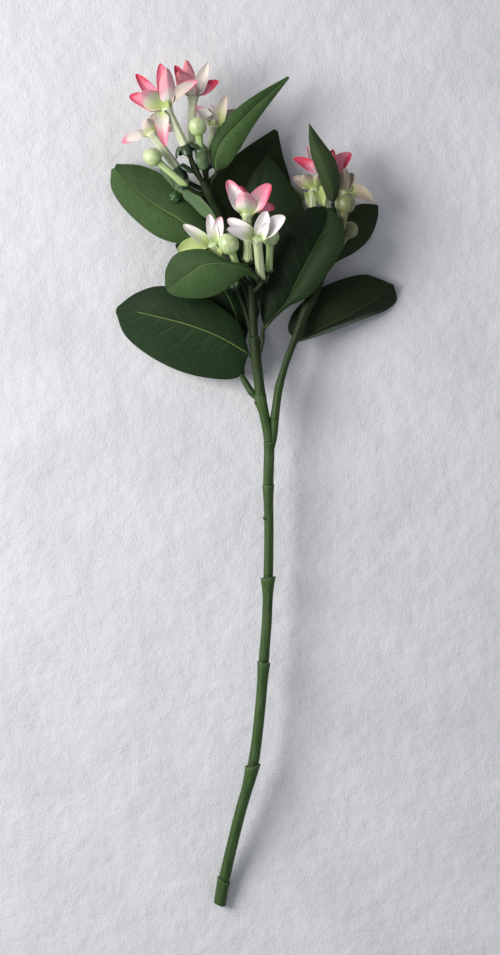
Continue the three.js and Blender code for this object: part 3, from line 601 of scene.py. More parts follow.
def leaf_cloth():
    """Satin leaf fabric: pale rib and faint side veins, fine threads, a duller paler underside."""
    made, kit = material("leaf_cloth")
    if kit:
        c = colours()
        across, place = kit.places("span")
        side_mm, run_mm = kit.places("cloth")
        x = across * 2.0 - 1.0
        far = abs(x)
        # painted light and shade: the right half of a leaf is painted lighter or darker than its left half
        tone = kit.mark("tone") + (kit.smooth(x, -0.04, 0.04) - 0.5) * kit.mark("tilt")
        printed = kit.mark("printed")
        under = kit.mark("under")

        def clouds(seed, scale, detail):
            """Noise on the cloth. A leaf's tone sets its own pattern."""
            return kit.noise(kit.point(side_mm, run_mm, tone * seed), scale, detail)

        wander = clouds(50.0, 0.06, 2.0)
        blotch = clouds(90.0, 0.035, 3.0)
        net_wander = clouds(11.0, 0.25, 2.0) * 1.4
        mottle = clouds(70.0, 0.3, 4.0)
        fuzz = kit.noise(kit.point(side_mm * 2.2, run_mm * 0.7, tone * 30.0), 1.1, 3.0)
        net = kit.noise(kit.point(side_mm + wander * 3.0, run_mm, tone), 0.8, 2.0)

        rib_width = 0.26 - place * 0.2
        rib = 1.0 - kit.smooth(abs(side_mm + (wander - 0.5) * 0.5), rib_width, rib_width + 0.32)
        rib = rib * (1.0 - kit.smooth(place + wander * 0.2, 0.82, 0.98)) * printed
        shift = kit.math("GREATER_THAN", x, 0.0) * VEIN_SHIFT
        phase = (place - far * VEIN_LEAN + far * far * VEIN_BEND + shift) * VEINS + wander * 0.4
        vein = 1.0 - kit.smooth(abs(phase.fraction() - 0.5), 0.006, 0.035)
        vein = vein * kit.smooth(far, 0.02, 0.06) * (1.0 - kit.smooth(far + blotch * 0.5, 0.35, 1.0))
        vein = vein * printed
        fine = 1.0 - kit.smooth(abs((phase * FINE_VEINS + net_wander).fraction() - 0.5), 0.02, 0.09)

        lift = (blotch - 0.5) * 0.9 + (fuzz - 0.5) * 0.9
        # painted shade: each leaf is painted darker towards its base
        shade = 1.0 - 0.6 * (1.0 - kit.smooth(place, 0.0, 0.32))
        # painted highlight: a paler band along the right margin near the base, where the margin is rolled
        rolled_highlight = kit.smooth(x - place * 0.7, 0.2, 0.4) * (1.0 - kit.smooth(place, 0.35, 0.75))
        deep = kit.mix(kit.mark("olive"), c.leaf_deep, LEAF_OLIVE)
        colour = kit.mix((tone * (1.0 + lift) + lift * 0.05) * shade, deep, c.leaf_light)
        layers = [
            (kit.smooth(mottle, 0.45, 0.8) * 0.35, LEAF_MOTTLE),
            # painted highlight along the outermost edge
            (kit.smooth(far, 0.975, 1.0) * (0.1 + 0.5 * tone), LEAF_EDGE_HIGHLIGHT),
            (rolled_highlight * kit.mark("rolled_highlight") * (0.5 + 0.5 * fuzz), LEAF_ROLLED_HIGHLIGHT),
            # pale grey-green painted over the face: partly the pale back of the cloth, partly painted sheen
            (kit.mark("pale_back_and_sheen") * (0.75 + 0.3 * fuzz), LEAF_PALE_BACK_AND_SHEEN),
            (vein * 0.16, c.leaf_rib),
            (fine * fuzz * (0.05 + 0.2 * tone) * (0.4 + printed), c.leaf_rib),
            (rib * (0.55 + 0.6 * fuzz), c.leaf_rib),
        ]
        for share, layer in layers:
            colour = kit.mix(share, colour, layer)
        colour = kit.mix(under, colour, kit.mix(0.35 + 0.3 * fuzz, colour, LEAF_BACK))

        turn = 2.0 * math.pi * MM / sizes().weave_pitch
        threads = (side_mm * turn).sin() * (run_mm * turn).sin()
        height = threads * 0.03 - vein * 0.1 - fine * 0.03 + rib * 0.14 + fuzz * 0.2 + net * 0.08
        roughness = 0.36 + 0.22 * fuzz + 0.2 * under
        kit.finish(colour, roughness, height + blotch * 1.0, Specular_IOR_Level=0.1)
    return made


# Fixed shades of a petal: painted shade for the dullest petals, which lie in shadow, and the underside
PETAL_PAINTED_SHADE = (0.17, 0.145, 0.10)
PETAL_UNDER = (0.58, 0.48, 0.44)

# The last four numbers of a petal in the table of blooms
PETAL_MARKS = ("pink", "dull_and_shade", "throat", "lean")


def petal_cloth():
    """Thin petal fabric dyed from the green throat through white to a pink and crimson end."""
    made, kit = material("petal_cloth")
    if kit:
        c = colours()
        across, place = kit.places("span")
        side_mm, run_mm = kit.places("cloth")
        x = across * 2.0 - 1.0
        far = abs(x)
        pink, dull_and_shade, throat, lean = (kit.mark(name) for name in PETAL_MARKS)
        under = kit.mark("under")
        seed = pink * 31.0 + dull_and_shade * 17.0
        streak = kit.noise(kit.point(side_mm * 1.6, run_mm * 0.16, seed), 1.0, 3.0)
        cloud = kit.noise(kit.point(side_mm, run_mm, seed), 0.22, 2.0)

        reach = place + far * far * far * 0.2 + x * lean * 0.35
        reach = reach + (streak - 0.5) * 0.3 + (cloud - 0.5) * 0.18
        dye = kit.smooth(reach, 1.1 - pink, 1.12 - pink * 0.42) * (0.3 + 0.7 * kit.smooth(pink, 0.0, 0.3))
        tip = kit.smooth(reach, 1.31 - pink * 0.56, 1.5 - pink * 0.54) * kit.smooth(pink, 0.2, 0.5)
        outline = kit.smooth(far, 0.86, 1.0) * kit.smooth(reach, 0.55, 0.95) * pink
        fade = 1.0 - kit.smooth(place + (streak - 0.5) * 0.3 + far * 0.12, throat * 0.45, throat + 0.2)
        layers = [
            (dull_and_shade * 0.75, c.petal_dull),
            # painted shade: petals duller than one are darkened further
            (kit.smooth(dull_and_shade, 1.0, 2.0), PETAL_PAINTED_SHADE),
            (dye * 0.92, c.petal_pink),
            (tip * 0.9, c.petal_crimson),
            (outline * 0.35, c.petal_crimson),
            (under * 0.35 * (1.0 - dull_and_shade), PETAL_UNDER),
            (fade * 0.85, c.throat),
        ]
        colour = c.petal_white
        for share, layer in layers:
            colour = kit.mix(share, colour, layer)

        veins = (side_mm * 5.2 + cloud * 3.0).sin()
        height = veins * 0.03 + streak * 0.12 + cloud * 0.3
        kit.finish(colour, 0.5 + 0.15 * streak, height, Specular_IOR_Level=0.35, Sheen_Weight=0.2)
    return made


# Green plastics of the buds of the right cluster, darkened as painted shade, and of the cup that lies on a
# leaf: the colour at the stalk, the pale colour beyond it and the strength of the clear coat. Tubes and the
# other buds have the last one.
PAINTED_SHADE_BUD = ((0.14, 0.155, 0.058), (0.21, 0.21, 0.105), 0.2)
LEAF_CUP = ((0.02, 0.07, 0.016), (0.04, 0.1, 0.03), 0)
BUD_COAT = 0.35


def scaled(colour, factor):
    return [min(1, channel * factor) for channel in colour]


def moulded_green(name, base, pale, coat):
    """Glossy pale plastic of the tubes and buds, greener towards the stalk, with faint lengthwise grooves."""
    made, kit = material(name)
    if kit:
        x, y, run = kit.grain()
        streaks = kit.noise(kit.point(x, y, run * 0.06), 0.9, 3.0)
        cloud = kit.noise(kit.object_place(), 130.0, 2.0)
        colour = kit.mix(kit.mark("paleness"), base, pale)
        colour = kit.mix(kit.smooth(streaks, 0.45, 0.7) * 0.45, colour, scaled(pale, 1.4))
        colour = kit.mix(kit.smooth(streaks, 0.52, 0.3) * 0.3, colour, scaled(base, 0.8))
        colour = kit.mix(kit.smooth(cloud, 0.5, 0.8) * 0.2, colour, scaled(base, 0.7))
        kit.finish(colour, 0.3 + 0.2 * cloud, streaks * 0.3 + cloud * 0.1, coat, Coat_Roughness=0.25)
    return made


def bud_plastic(name):
    """The green plastic of the tubes and of the buds outside the right cluster."""
    return moulded_green(name, tuple(colours().bud), tuple(colours().tube), BUD_COAT)


# Fixed shades of the cups: the lighter edge of a dark one, and the long one's deep and pale places
CALYX_RIM = (0.06, 0.12, 0.05)
LONG_CUP_DEEP = (0.075, 0.13, 0.05)
LONG_CUP_PALE = (0.17, 0.25, 0.125)


def calyx_plastic():
    """Dark green glossy plastic, lighter at the edges of its lobes."""
    made, kit = material("calyx_plastic")
    if kit:
        calyx = colours().calyx
        cloud = kit.noise(kit.object_place(), 240.0, 3.0)
        base = kit.mix(kit.smooth(cloud, 0.35, 0.7), scaled(calyx, 0.7), scaled(calyx, 1.5))
        colour = kit.mix(kit.mark("rim") * 0.3, base, CALYX_RIM)
        kit.finish(colour, 0.3 + 0.2 * cloud, cloud * 0.12, 0.25, Coat_Roughness=0.3)
    return made


def cup_plastic():
    """Thin cloudy green plastic of the long cup."""
    made, kit = material("cup_plastic")
    if kit:
        cloud = kit.noise(kit.object_place(), 180.0, 3.0)
        colour = kit.mix(kit.smooth(cloud, 0.3, 0.7), LONG_CUP_DEEP, LONG_CUP_PALE)
        kit.finish(colour, 0.25 + 0.2 * cloud, cloud * 0.15, 0.3, Coat_Roughness=0.2)
    return made


def floor_felt():
    """Pale felt with short fibres, small lumps and wide soft waves."""
    made, kit = material("floor_felt")
    if kit:
        place = kit.object_place()
        fibres = kit.noise(place, 700.0, 3.0)
        lumps = kit.noise(place, 75.0, 3.0)
        waves = kit.noise(place, 14.0, 2.0)
        felt = tuple(colours().floor)
        colour = kit.mix(kit.smooth(waves + (fibres - 0.5) * 0.4, 0.3, 0.8), felt, scaled(felt, 0.9))
        kit.finish(colour, 0.95, fibres * 0.45 + lumps * 1.7 + waves * 2.5, Specular_IOR_Level=0.1)
    return made


# Curves and meshes


def spline(points, places):
    """Points of the smooth curve through the given ones, at places from 0 to 1."""
    given = np.asarray(points, float)
    last = len(given) - 1
    p = np.vstack([2 * given[0] - given[1], given, 2 * given[-1] - given[-2]])
    s = np.clip(np.asarray(places, float), 0, 1) * last
    i = np.minimum(s.astype(int), last - 1)
    w = (s - i)[:, None]
    a, b, c, d = p[i], p[i + 1], p[i + 2], p[i + 3]
    return b + 0.5 * w * ((c - a) + w * ((2 * a - 5 * b + 4 * c - d) + w * (3 * b - a - 3 * c + d)))


def unit(vectors):
    vectors = np.asarray(vectors, float)
    return vectors / np.maximum(np.linalg.norm(vectors, axis=-1, keepdims=True), 1e-9)


def smooth_step(values, low, high):
    t = np.clip((np.asarray(values, float) - low) / (high - low), 0, 1)
    return t * t * (3 - 2 * t)


def bezier(a, b, c, places):
    w = np.asarray(places, float)[:, None]
    return (1 - w) ** 2 * np.asarray(a) + 2 * w * (1 - w) * np.asarray(b) + w**2 * np.asarray(c)


def both_sides(half):
    """Shares across a blade from its left edge, -1, to its right edge, 1."""
    return np.array([-share for share in half[:0:-1]] + half)


def upright(head, foot):
    """The foot of a bloom or bud, the direction from there to its head, and how far that is."""
    foot = np.array(foot, float)
    way = np.array(head, float) - foot
    return foot, unit(way), float(np.linalg.norm(way))


def set_marks(mesh, marks):
    """Numbers or directions that a mesh carries point by point."""
    for label, values in marks.items():
        kind, field = ("FLOAT_VECTOR", "vector") if np.ndim(values) == 2 else ("FLOAT", "value")
        layer = mesh.attributes.new(label, kind, "POINT")
        layer.data.foreach_set(field, np.asarray(values, np.float32).ravel())


def new_mesh(name, points, faces, marks, maps=None):
    """A smooth mesh from points in millimetres, with numbers and UV maps given point by point."""
    mesh = bpy.data.meshes.new(name)
    mesh.from_pydata((np.asarray(points) * MM).tolist(), [], [list(face) for face in faces])
    corners = np.empty(len(mesh.loops), int)
    mesh.loops.foreach_get("vertex_index", corners)
    for label, values in (maps or {}).items():
        layer = mesh.uv_layers.new(name=label)
        layer.data.foreach_set("uv", np.asarray(values, np.float32)[corners].ravel())
    set_marks(mesh, marks)
    mesh.shade_smooth()
    return mesh


def outward(mesh):
    """Turns the faces of closed shells outwards."""
    work = bmesh.new()
    work.from_mesh(mesh)
    bmesh.ops.recalc_face_normals(work, faces=work.faces)
    work.to_mesh(mesh)
    work.free()


def place_piece(name, mesh, finish, node):
    """Puts a finished mesh in the scene for one node of the solids."""
    piece = bpy.data.objects.new(name, mesh)
    bpy.context.scene.collection.objects.link(piece)
    mesh.materials.clear()
    mesh.materials.append(finish)
    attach(piece, "root")
    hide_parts(node)


def blade(grid, thickness, offset=0):
    """Points, faces and under marks of a thin closed blade about a grid of rows from base to tip."""
    rows, columns = grid.shape[:2]
    right = np.gradient(grid, axis=1)
    along = np.gradient(grid, axis=0)
    normal = unit(np.cross(right, along))
    half = np.broadcast_to(thickness, (rows, columns))[..., None] / 2
    points = np.concatenate([(grid + normal * half).reshape(-1, 3), (grid - normal * half).reshape(-1, 3)])
    index = np.arange(rows * columns).reshape(rows, columns)
    a, b, c, d = index[:-1, :-1], index[:-1, 1:], index[1:, 1:], index[1:, :-1]
    under = rows * columns
    top = np.stack([a, b, c, d], -1).reshape(-1, 4)
    back = np.stack([a, d, c, b], -1).reshape(-1, 4) + under
    ring = np.concatenate([index[0, :], index[1:, -1], index[-1, -2::-1], index[-2:0:-1, 0]])
    after = np.roll(ring, -1)
    rim = np.stack([ring, ring + under, after + under, after], -1)
    faces = np.concatenate([top, back, rim]) + offset
    marks = np.concatenate([np.zeros(under), np.ones(under)])
    return points, faces, marks


def spans(grid, places, across):
    """The two UV maps of a blade: shares of its span, and millimetres on the cloth from its rib."""
    rows, columns = grid.shape[:2]
    middle = columns // 2
    steps = np.linalg.norm(np.diff(grid, axis=1), axis=-1)
    side = np.concatenate([np.zeros((rows, 1)), np.cumsum(steps, axis=1)], axis=1)
    side = side - side[:, middle : middle + 1]
    rib = np.linalg.norm(np.diff(grid[:, middle], axis=0), axis=-1)
    run = np.concatenate([[0], np.cumsum(rib)])
    share = np.stack(np.broadcast_arrays((across[None, :] + 1) / 2, places[:, None]), -1).reshape(-1, 2)
    cloth = np.stack(np.broadcast_arrays(side, run[:, None]), -1).reshape(-1, 2)
    return {"span": np.concatenate([share, share]), "cloth": np.concatenate([cloth, cloth])}


# Leaves

# How far above the surface the middle of the cloth stays, how high and how fast the edge ripples, how deep
# the groove over the rib is and how far it spreads, and how much thinner the cloth is at its edge
LEAF_CLEARANCE = 0.5
LEAF_RIPPLE = 0.45
LEAF_WAVES = 17
LEAF_GROOVE = 0.3
LEAF_GROOVE_SPREAD = 1.6
LEAF_EDGE_THINNER = 0.45

# How much closer together the rows of a leaf are at its base and tip
ROW_CROWDING = 0.35

LEAF_MARKS = ("tone", "printed", "tilt", "olive", "rolled_highlight", "pale_back_and_sheen")

# How much lighter the right half of each leaf is painted than the left, which is painted light and shade of
# its two halves, how olive the leaf is, how strong the painted highlight on its rolled right margin is, and
# how much pale grey-green is painted over its face, partly the pale back of the cloth and partly painted
# sheen
LEAF_SHADES = {
    "leaf_top": (0.3, 0, 0, 0),
    "leaf_back_upper": (0, 0.6, 0, 0),
    "leaf_back_lower": (0, 0.3, 0, 0),
    "leaf_left": (-0.16, 0, 0, 0),
    "leaf_strip": (0, 0, 0, 0.9),
    "leaf_front": (-0.1, 0, 0, 0),
    "leaf_large": (-0.04, 0, 0, 0),
    "leaf_centre_right": (0.12, 0.2, 0, 0),
    "leaf_far_right": (0, 0.8, 0, 0),
    "leaf_low_right": (0, 0.6, 1, 0),
    "leaf_upright": (0, 1, 0, 0.1),
    "leaf_under": (0, 0, 0, 0),
}

# Columns of a leaf from its rib to its edge, closer together at both
LEAF_HALF = [
    0, 0.012, 0.03, 0.055, 0.09, 0.14, 0.2, 0.27, 0.35, 0.44, 0.53, 0.62, 0.71, 0.79, 0.86, 0.92, 0.965, 1,
]

# The moulded rib: its radius by its place along the leaf, how far below the cloth its middle runs, in
# millimetres and for its radius, and how far it stays above the surface
RIB_PLACES = (0, 0.12, 0.9, 1)
RIB_RADII = (0.95, 0.75, 0.3, 0.15)
RIB_BELOW = 0.2
RIB_SUNK = 0.45
RIB_CLEARANCE = 0.25


def leaf_grid(swell, left, rib, right, places, across):
    """Rows of points over a leaf. Each half swells between rib and edge, and the edge ripples a little."""
    edges = spline(left, places), spline(right, places)
    middle = spline(rib, places)
    tangent = unit(spline(rib, places + 0.01) - spline(rib, places - 0.01))
    up = unit(np.cross(edges[1] - edges[0], tangent))
    u = across[None, :, None]
    far = np.abs(u)
    edge = np.where(u < 0, edges[0][:, None], edges[1][:, None])
    body = middle[:, None] + far * (edge - middle[:, None])
    arch = np.sin(math.pi * places)[:, None, None]
    rise = swell * arch * 4 * far * (1 - far)
    wave = np.sin(places[:, None, None] * LEAF_WAVES + 2.1 * np.sign(u) + swell)
    ripple = LEAF_RIPPLE * arch * far**4 * wave
    width = np.linalg.norm(edge - middle[:, None], axis=-1, keepdims=True)
    groove = LEAF_GROOVE * arch * np.exp(-((far * width / LEAF_GROOVE_SPREAD) ** 2))
    grid = body + up[:, None] * (rise + ripple - groove)
    grid[..., 2] = np.maximum(grid[..., 2], LEAF_CLEARANCE)
    return grid


def leaf_rib(grid, places):
    """The moulded rib under a leaf, thinner towards the tip."""
    middle = grid.shape[1] // 2
    normal = unit(np.cross(np.gradient(grid, axis=1), np.gradient(grid, axis=0)))[:, middle]
    radii = np.interp(places, RIB_PLACES, RIB_RADII)
    path = grid[:, middle] - normal * (RIB_BELOW + RIB_SUNK * radii[:, None])
    path[:, 2] = np.maximum(path[:, 2], radii + RIB_CLEARANCE)
    return path[::2], radii[::2], 0, 0


class JASMINE_OT_leaves(bpy.types.Operator):
    """Twelve fabric leaves, each with a rib moulded under it, and the cup that lies on one of them"""

    bl_idname = "jasmine.leaves"
    bl_label = "Leaves"

    def execute(self, context):
        size = sizes()
        across = both_sides(LEAF_HALF)
        ends = np.linspace(0, 1, size.leaf_rows)
        crowded = 0.5 - 0.5 * np.cos(math.pi * ends) * ROW_CROWDING + (ends - 0.5) * (1 - ROW_CROWDING)
        places = (crowded - crowded[0]) / (crowded[-1] - crowded[0])
        thickness = size.leaf_thickness / MM * (1 - LEAF_EDGE_THINNER * np.abs(across[None, :]) ** 6)
        for name, (tone, printed, swell, left, rib, right) in LEAVES.items():
            grid = leaf_grid(swell, left, rib, right, places, across)
            points, faces, under = blade(grid, thickness)
            marks = {"under": under}
            for label, value in zip(LEAF_MARKS, (tone, printed, *LEAF_SHADES[name])):
                marks[label] = np.full(len(points), value)
            mesh = new_mesh(name + "_blade", points, faces, marks, spans(grid, places, across))
            place_piece(name + "_blade", mesh, leaf_cloth(), name)
            lines = [leaf_rib(grid, places)]
            place_rods(name + "_rib", lines, moulded_stem(), size.rib_sides, name)
        skin = moulded_green("leaf_cup_plastic", *LEAF_CUP)
        cup = calyxes("leaf_left_cup", [((LONE_CUP_HEAD, LONE_CUP), LONE_CALYX)], skin, False)
        place_piece("leaf_left_cup", cup, skin, "leaf_left")
        return {"FINISHED"}


# Moulded rods by geometry nodes: branches, stalks, tubes and buds


def new_tree(name, inputs):
    """A geometry tree with a geometry in and out and these named inputs."""
    tree = bpy.data.node_groups.new(name, "GeometryNodeTree")
    tree.interface.new_socket("Geometry", in_out="INPUT", socket_type="NodeSocketGeometry")
    for label, (kind, default) in inputs.items():
        socket = tree.interface.new_socket(label, in_out="INPUT", socket_type="NodeSocket" + kind)
        if default is not None:
            socket.default_value = default
    tree.interface.new_socket("Geometry", in_out="OUTPUT", socket_type="NodeSocketGeometry")
    kit = Kit(tree)
    return tree, kit, kit.add("NodeGroupInput").outputs


def end_tree(kit, geometry, finish):
    real = kit.add("GeometryNodeRealizeInstances", {}, {"Geometry": geometry})
    smooth = kit.add("GeometryNodeSetShadeSmooth", {}, {"Geometry": real.outputs[0]})
    coloured = kit.add("GeometryNodeSetMaterial", {}, {"Geometry": smooth.outputs[0], "Material": finish})
    kit.add("NodeGroupOutput", {}, {"Geometry": coloured.outputs[0]})


def stored(kit, geometry, name, value, kind="FLOAT"):
    sockets = {"Geometry": geometry, "Name": name, "Value": value}
    settings = {"data_type": kind, "domain": "POINT"}
    return kit.add("GeometryNodeStoreNamedAttribute", settings, sockets).outputs[0]


def carried(kit, name, kind="FLOAT"):
    return kit.add("GeometryNodeInputNamedAttribute", {"data_type": kind}, {"Name": name}).outputs[0]


# How many flutes run along a rod, and the least radius of one
FLUTES = 5
LEAST_RADIUS = 0.15


def rod_tree():
    """Sweeps a fluted round section along each line of a mesh. The points carry girth and flute."""
    made = bpy.data.node_groups.get("Moulded rod")
    if made:
        return made
    tree, kit, given = new_tree(
        "Moulded rod", {"Sides": ("Int", 20), "Flutes": ("Int", FLUTES), "Finish": ("Material", None)}
    )
    line = kit.add("GeometryNodeMeshToCurve", {}, {"Mesh": given["Geometry"]}).outputs[0]
    length = kit.add("GeometryNodeSplineParameter").outputs["Length"]
    line = stored(kit, line, "run", Value(kit, length) * (1 / MM))
    section = {"Resolution": given["Sides"], "Radius": 1.0}
    ring = kit.add("GeometryNodeCurvePrimitiveCircle", {}, section).outputs[0]
    factor = kit.add("GeometryNodeSplineParameter").outputs["Factor"]
    ring = stored(kit, ring, "around", factor)
    girth = Value(kit, carried(kit, "girth"))
    sockets = {"Curve": line, "Profile Curve": ring, "Scale": girth, "Fill Caps": True}
    skin = kit.add("GeometryNodeCurveToMesh", {}, sockets).outputs[0]
    angle = Value(kit, carried(kit, "around")) * (2 * math.pi)
    wave = 0.5 - (angle * Value(kit, given["Flutes"])).cos() * 0.5
    depth = wave * Value(kit, carried(kit, "flute")) * girth * -1.0
    normal = kit.add("GeometryNodeInputNormal").outputs["Normal"]
    shift = kit.add("ShaderNodeVectorMath", {"operation": "SCALE"}, {0: normal, "Scale": depth}).outputs[0]
    moved = kit.add("GeometryNodeSetPosition", {}, {"Geometry": skin, "Offset": shift}).outputs[0]
    radius = girth * (1 / MM)
    grain = kit.point(angle.cos() * radius, angle.sin() * radius, carried(kit, "run"))
    end_tree(kit, stored(kit, moved, "grain", grain, "FLOAT_VECTOR"), given["Finish"])
    return tree


def calyx_tree():
    """Stands one copy of a calyx at each point, along the direction and at the sizes that it carries."""
    made = bpy.data.node_groups.get("Calyxes")
    if made:
        return made
    tree, kit, given = new_tree("Calyxes", {"Calyx": ("Object", None), "Finish": ("Material", None)})
    pattern = kit.add("GeometryNodeObjectInfo", {}, {"Object": given["Calyx"]}).outputs["Geometry"]
    aim = carried(kit, "aim", "FLOAT_VECTOR")
    turn = kit.add("FunctionNodeAlignRotationToVector", {"axis": "Z"}, {"Vector": aim}).outputs[0]
    size = Value(kit, carried(kit, "size"))
    scale = kit.point(size, size, size * Value(kit, carried(kit, "stretch")))
    sockets = {"Points": given["Geometry"], "Instance": pattern, "Rotation": turn, "Scale": scale}
    copies = kit.add("GeometryNodeInstanceOnPoints", {}, sockets).outputs[0]
    end_tree(kit, copies, given["Finish"])
    return tree


def grown(mesh, tree, inputs, drop=()):
    """The plain mesh that a geometry tree makes from another mesh."""
    holder = bpy.data.objects.new("holder", mesh)
    bpy.context.scene.collection.objects.link(holder)
    modifier = holder.modifiers.new("tree", "NODES")
    modifier.node_group = tree
    names = {item.name: item.identifier for item in tree.interface.items_tree if item.in_out == "INPUT"}
    for label, value in inputs.items():
        modifier[names[label]] = value
    graph = bpy.context.evaluated_depsgraph_get()
    made = bpy.data.meshes.new_from_object(holder.evaluated_get(graph))
    bpy.data.objects.remove(holder)
    bpy.data.meshes.remove(mesh)
    for label in drop:
        if label in made.attributes:
            made.attributes.remove(made.attributes[label])
    outward(made)
    return made


def place_rods(name, lines, finish, sides, node):
    """One piece of moulded rods. Each line gives its points, and at each of them or for all the radius, the
    depth of the flutes and how pale it is."""
    points, edges, girths, flutes, pale = [], [], [], [], []
    for path, radii, depths, paleness in lines:
        start = len(points)
        points.extend(path)
        edges.extend((start + i, start + i + 1) for i in range(len(path) - 1))
        girths.extend(np.broadcast_to(radii, len(path)))
        flutes.extend(np.broadcast_to(depths, len(path)))
        pale.extend(np.broadcast_to(paleness, len(path)))
    mesh = bpy.data.meshes.new(name)
    mesh.from_pydata((np.array(points) * MM).tolist(), edges, [])
    set_marks(mesh, {"girth": np.array(girths) * MM, "flute": flutes, "paleness": pale})
    made = grown(mesh, rod_tree(), {"Sides": sides, "Finish": finish}, ("girth", "flute", "run", "around"))
    made.name = name
    place_piece(name, made, finish, node)


def profile_line(foot, axis, profile, count):
    """Points along an axis and their radii, smoothly through a profile of steps and radii."""
    fine = spline(profile, np.linspace(0, 1, count))
    return np.asarray(foot, float) + axis * fine[:, :1], np.maximum(fine[:, 1], LEAST_RADIUS)


# Stems


def stem_frame(line, places):
    """Centres, tangents and two directions across, carried along a line without twist."""
    centres = spline(line, places)
    tangents = unit(spline(line, places + 0.002) - spline(line, places - 0.002))
    across = [unit(np.cross((0, 0, 1), tangents[0]))]
    for tangent in tangents[1:]:
        across.append(unit(across[-1] - np.dot(across[-1], tangent) * tangent))
    across = np.array(across)
    return centres, tangents, across, np.cross(tangents, across)


# A segment of the main stem flares towards its lip from this share of its length. Over the next spans its
# rings slant and turn pale towards the rim, and it is a little wider at its foot. The rings stand at the last
# shares.
FLARE_START = 0.7
SLANT_SPAN = (0.75, 1)
RIM_SPAN = (0.93, 1)
FOOT_SPAN = (0, 0.2)
FOOT_SWELL = 0.15
SEGMENT_SHARES = np.concatenate([np.linspace(0.06, 0.66, 11), np.linspace(0.7, 0.97, 11)])

# Rings in millimetres beyond a joint. Round the lip and inside its socket: what is taken off its radius, and
# how much of the pale rim and of the dark gap is there. On the foot of the next segment: how much of the gap.
# A gap is fully dark where the lip stands this far out.
LIP_RINGS = [(-0.3, 0, 1, 0), (0.15, 0.25, 1, 0)]
SOCKET_RINGS = [(0.05, 0.75, 0.5, 0.5), (-0.9, 0.95, 0, 1)]
NEXT_FOOT_RINGS = [(-1.4, 1), (0.9, 0.5)]
OPEN_GAP = 1.3

# Rings at both ends of the main stem: millimetres beyond the end, and radius. The cut end slants. Past its
# last point the stem runs on by this many millimetres for a place of 1.
CUT_SLANT = 0.8
CUT_RINGS = [(0, 0.6), (0, 3.4), (0.25, 4.2), (1.4, 4.8)]
TOP_RINGS = [(0.2, 3.0), (0.2, 0.6)]
TOP_STRETCH = 420

# Ridges round the stem: how many, how high for its radius and how far each segment turns them. The grain of
# each segment starts this much further on.
RIDGES = [(7, 0.018, 1.9), (3, 0.012, 4.1)]
GRAIN_STEP = 37

# The stem is stouter at the knot, over this length, and stands a little aside. A notch is cut in each lip, at
# the top of the stem and turned aside by up to half a radian.
KNOT_SPREAD = 5.5
KNOT_SWELL = 0.8
KNOT_SHIFT = (0.7, 0, 0)
NOTCH_DEPTH = 1.0
NOTCH_WIDTH = 0.6
NOTCH_ASIDE = 0.5
NOTCH_TURN = 3.3
STEM_CLEARANCE = 0.1


def stem_stations():
    """Rings of the main stem from the cut end: place, radius, slant, rim share, gap share and segment."""
    last = len(MAIN_LINE) - 1
    top = len(SEGMENTS) - 1
    length = float(np.linalg.norm(np.diff(np.array(MAIN_LINE), axis=0), axis=1).sum())
    rings = [(step / length, radius, CUT_SLANT, 0, 0, 0) for step, radius in CUT_RINGS]
    for index, (first, end, foot, lip, slant) in enumerate(SEGMENTS):
        for f in SEGMENT_SHARES:
            swell = max(0, (f - FLARE_START) / (1 - FLARE_START)) ** 2
            swell = swell + FOOT_SWELL * (1 - smooth_step(f, *FOOT_SPAN))
            place = (first + (end - first) * f) / last
            lean = slant * smooth_step(f, *SLANT_SPAN)
            rim = smooth_step(f, *RIM_SPAN)
            rings.append((place, foot + (lip - foot) * swell, lean, rim, 0, index))
        joint = end / last
        after = SEGMENTS[index + 1][2] if index < top else lip
        dark = min(1, (lip - after) / OPEN_GAP) ** 2
        for step, less, rim, gap in LIP_RINGS + (SOCKET_RINGS if index < top else []):
            rings.append((joint + step / length, lip - less, slant, rim, gap * dark, index))
        for step, gap in NEXT_FOOT_RINGS if index < top else []:
            rings.append((joint + step / length, after, slant, 0, gap * dark, index))
    rings += [(1 + step / length, radius, 0, 0, 0, top) for step, radius in TOP_RINGS]
    return np.array(rings, float)


def closed_rings(rings):
    """Points and faces over rings of equally many points, closed at both ends by a fan."""
    count, sides = rings.shape[:2]
    points = np.concatenate([rings.reshape(-1, 3), rings[:1].mean(1), rings[-1:].mean(1)])
    index = np.arange(count * sides).reshape(count, sides)
    after = np.roll(index, -1, axis=1)
    wall = np.stack([index[:-1], after[:-1], after[1:], index[1:]], -1).reshape(-1, 4).tolist()
    first, last = count * sides, count * sides + 1
    wall += [(first, int(after[0, k]), int(index[0, k])) for k in range(sides)]
    wall += [(last, int(index[-1, k]), int(after[-1, k])) for k in range(sides)]
    return points, wall


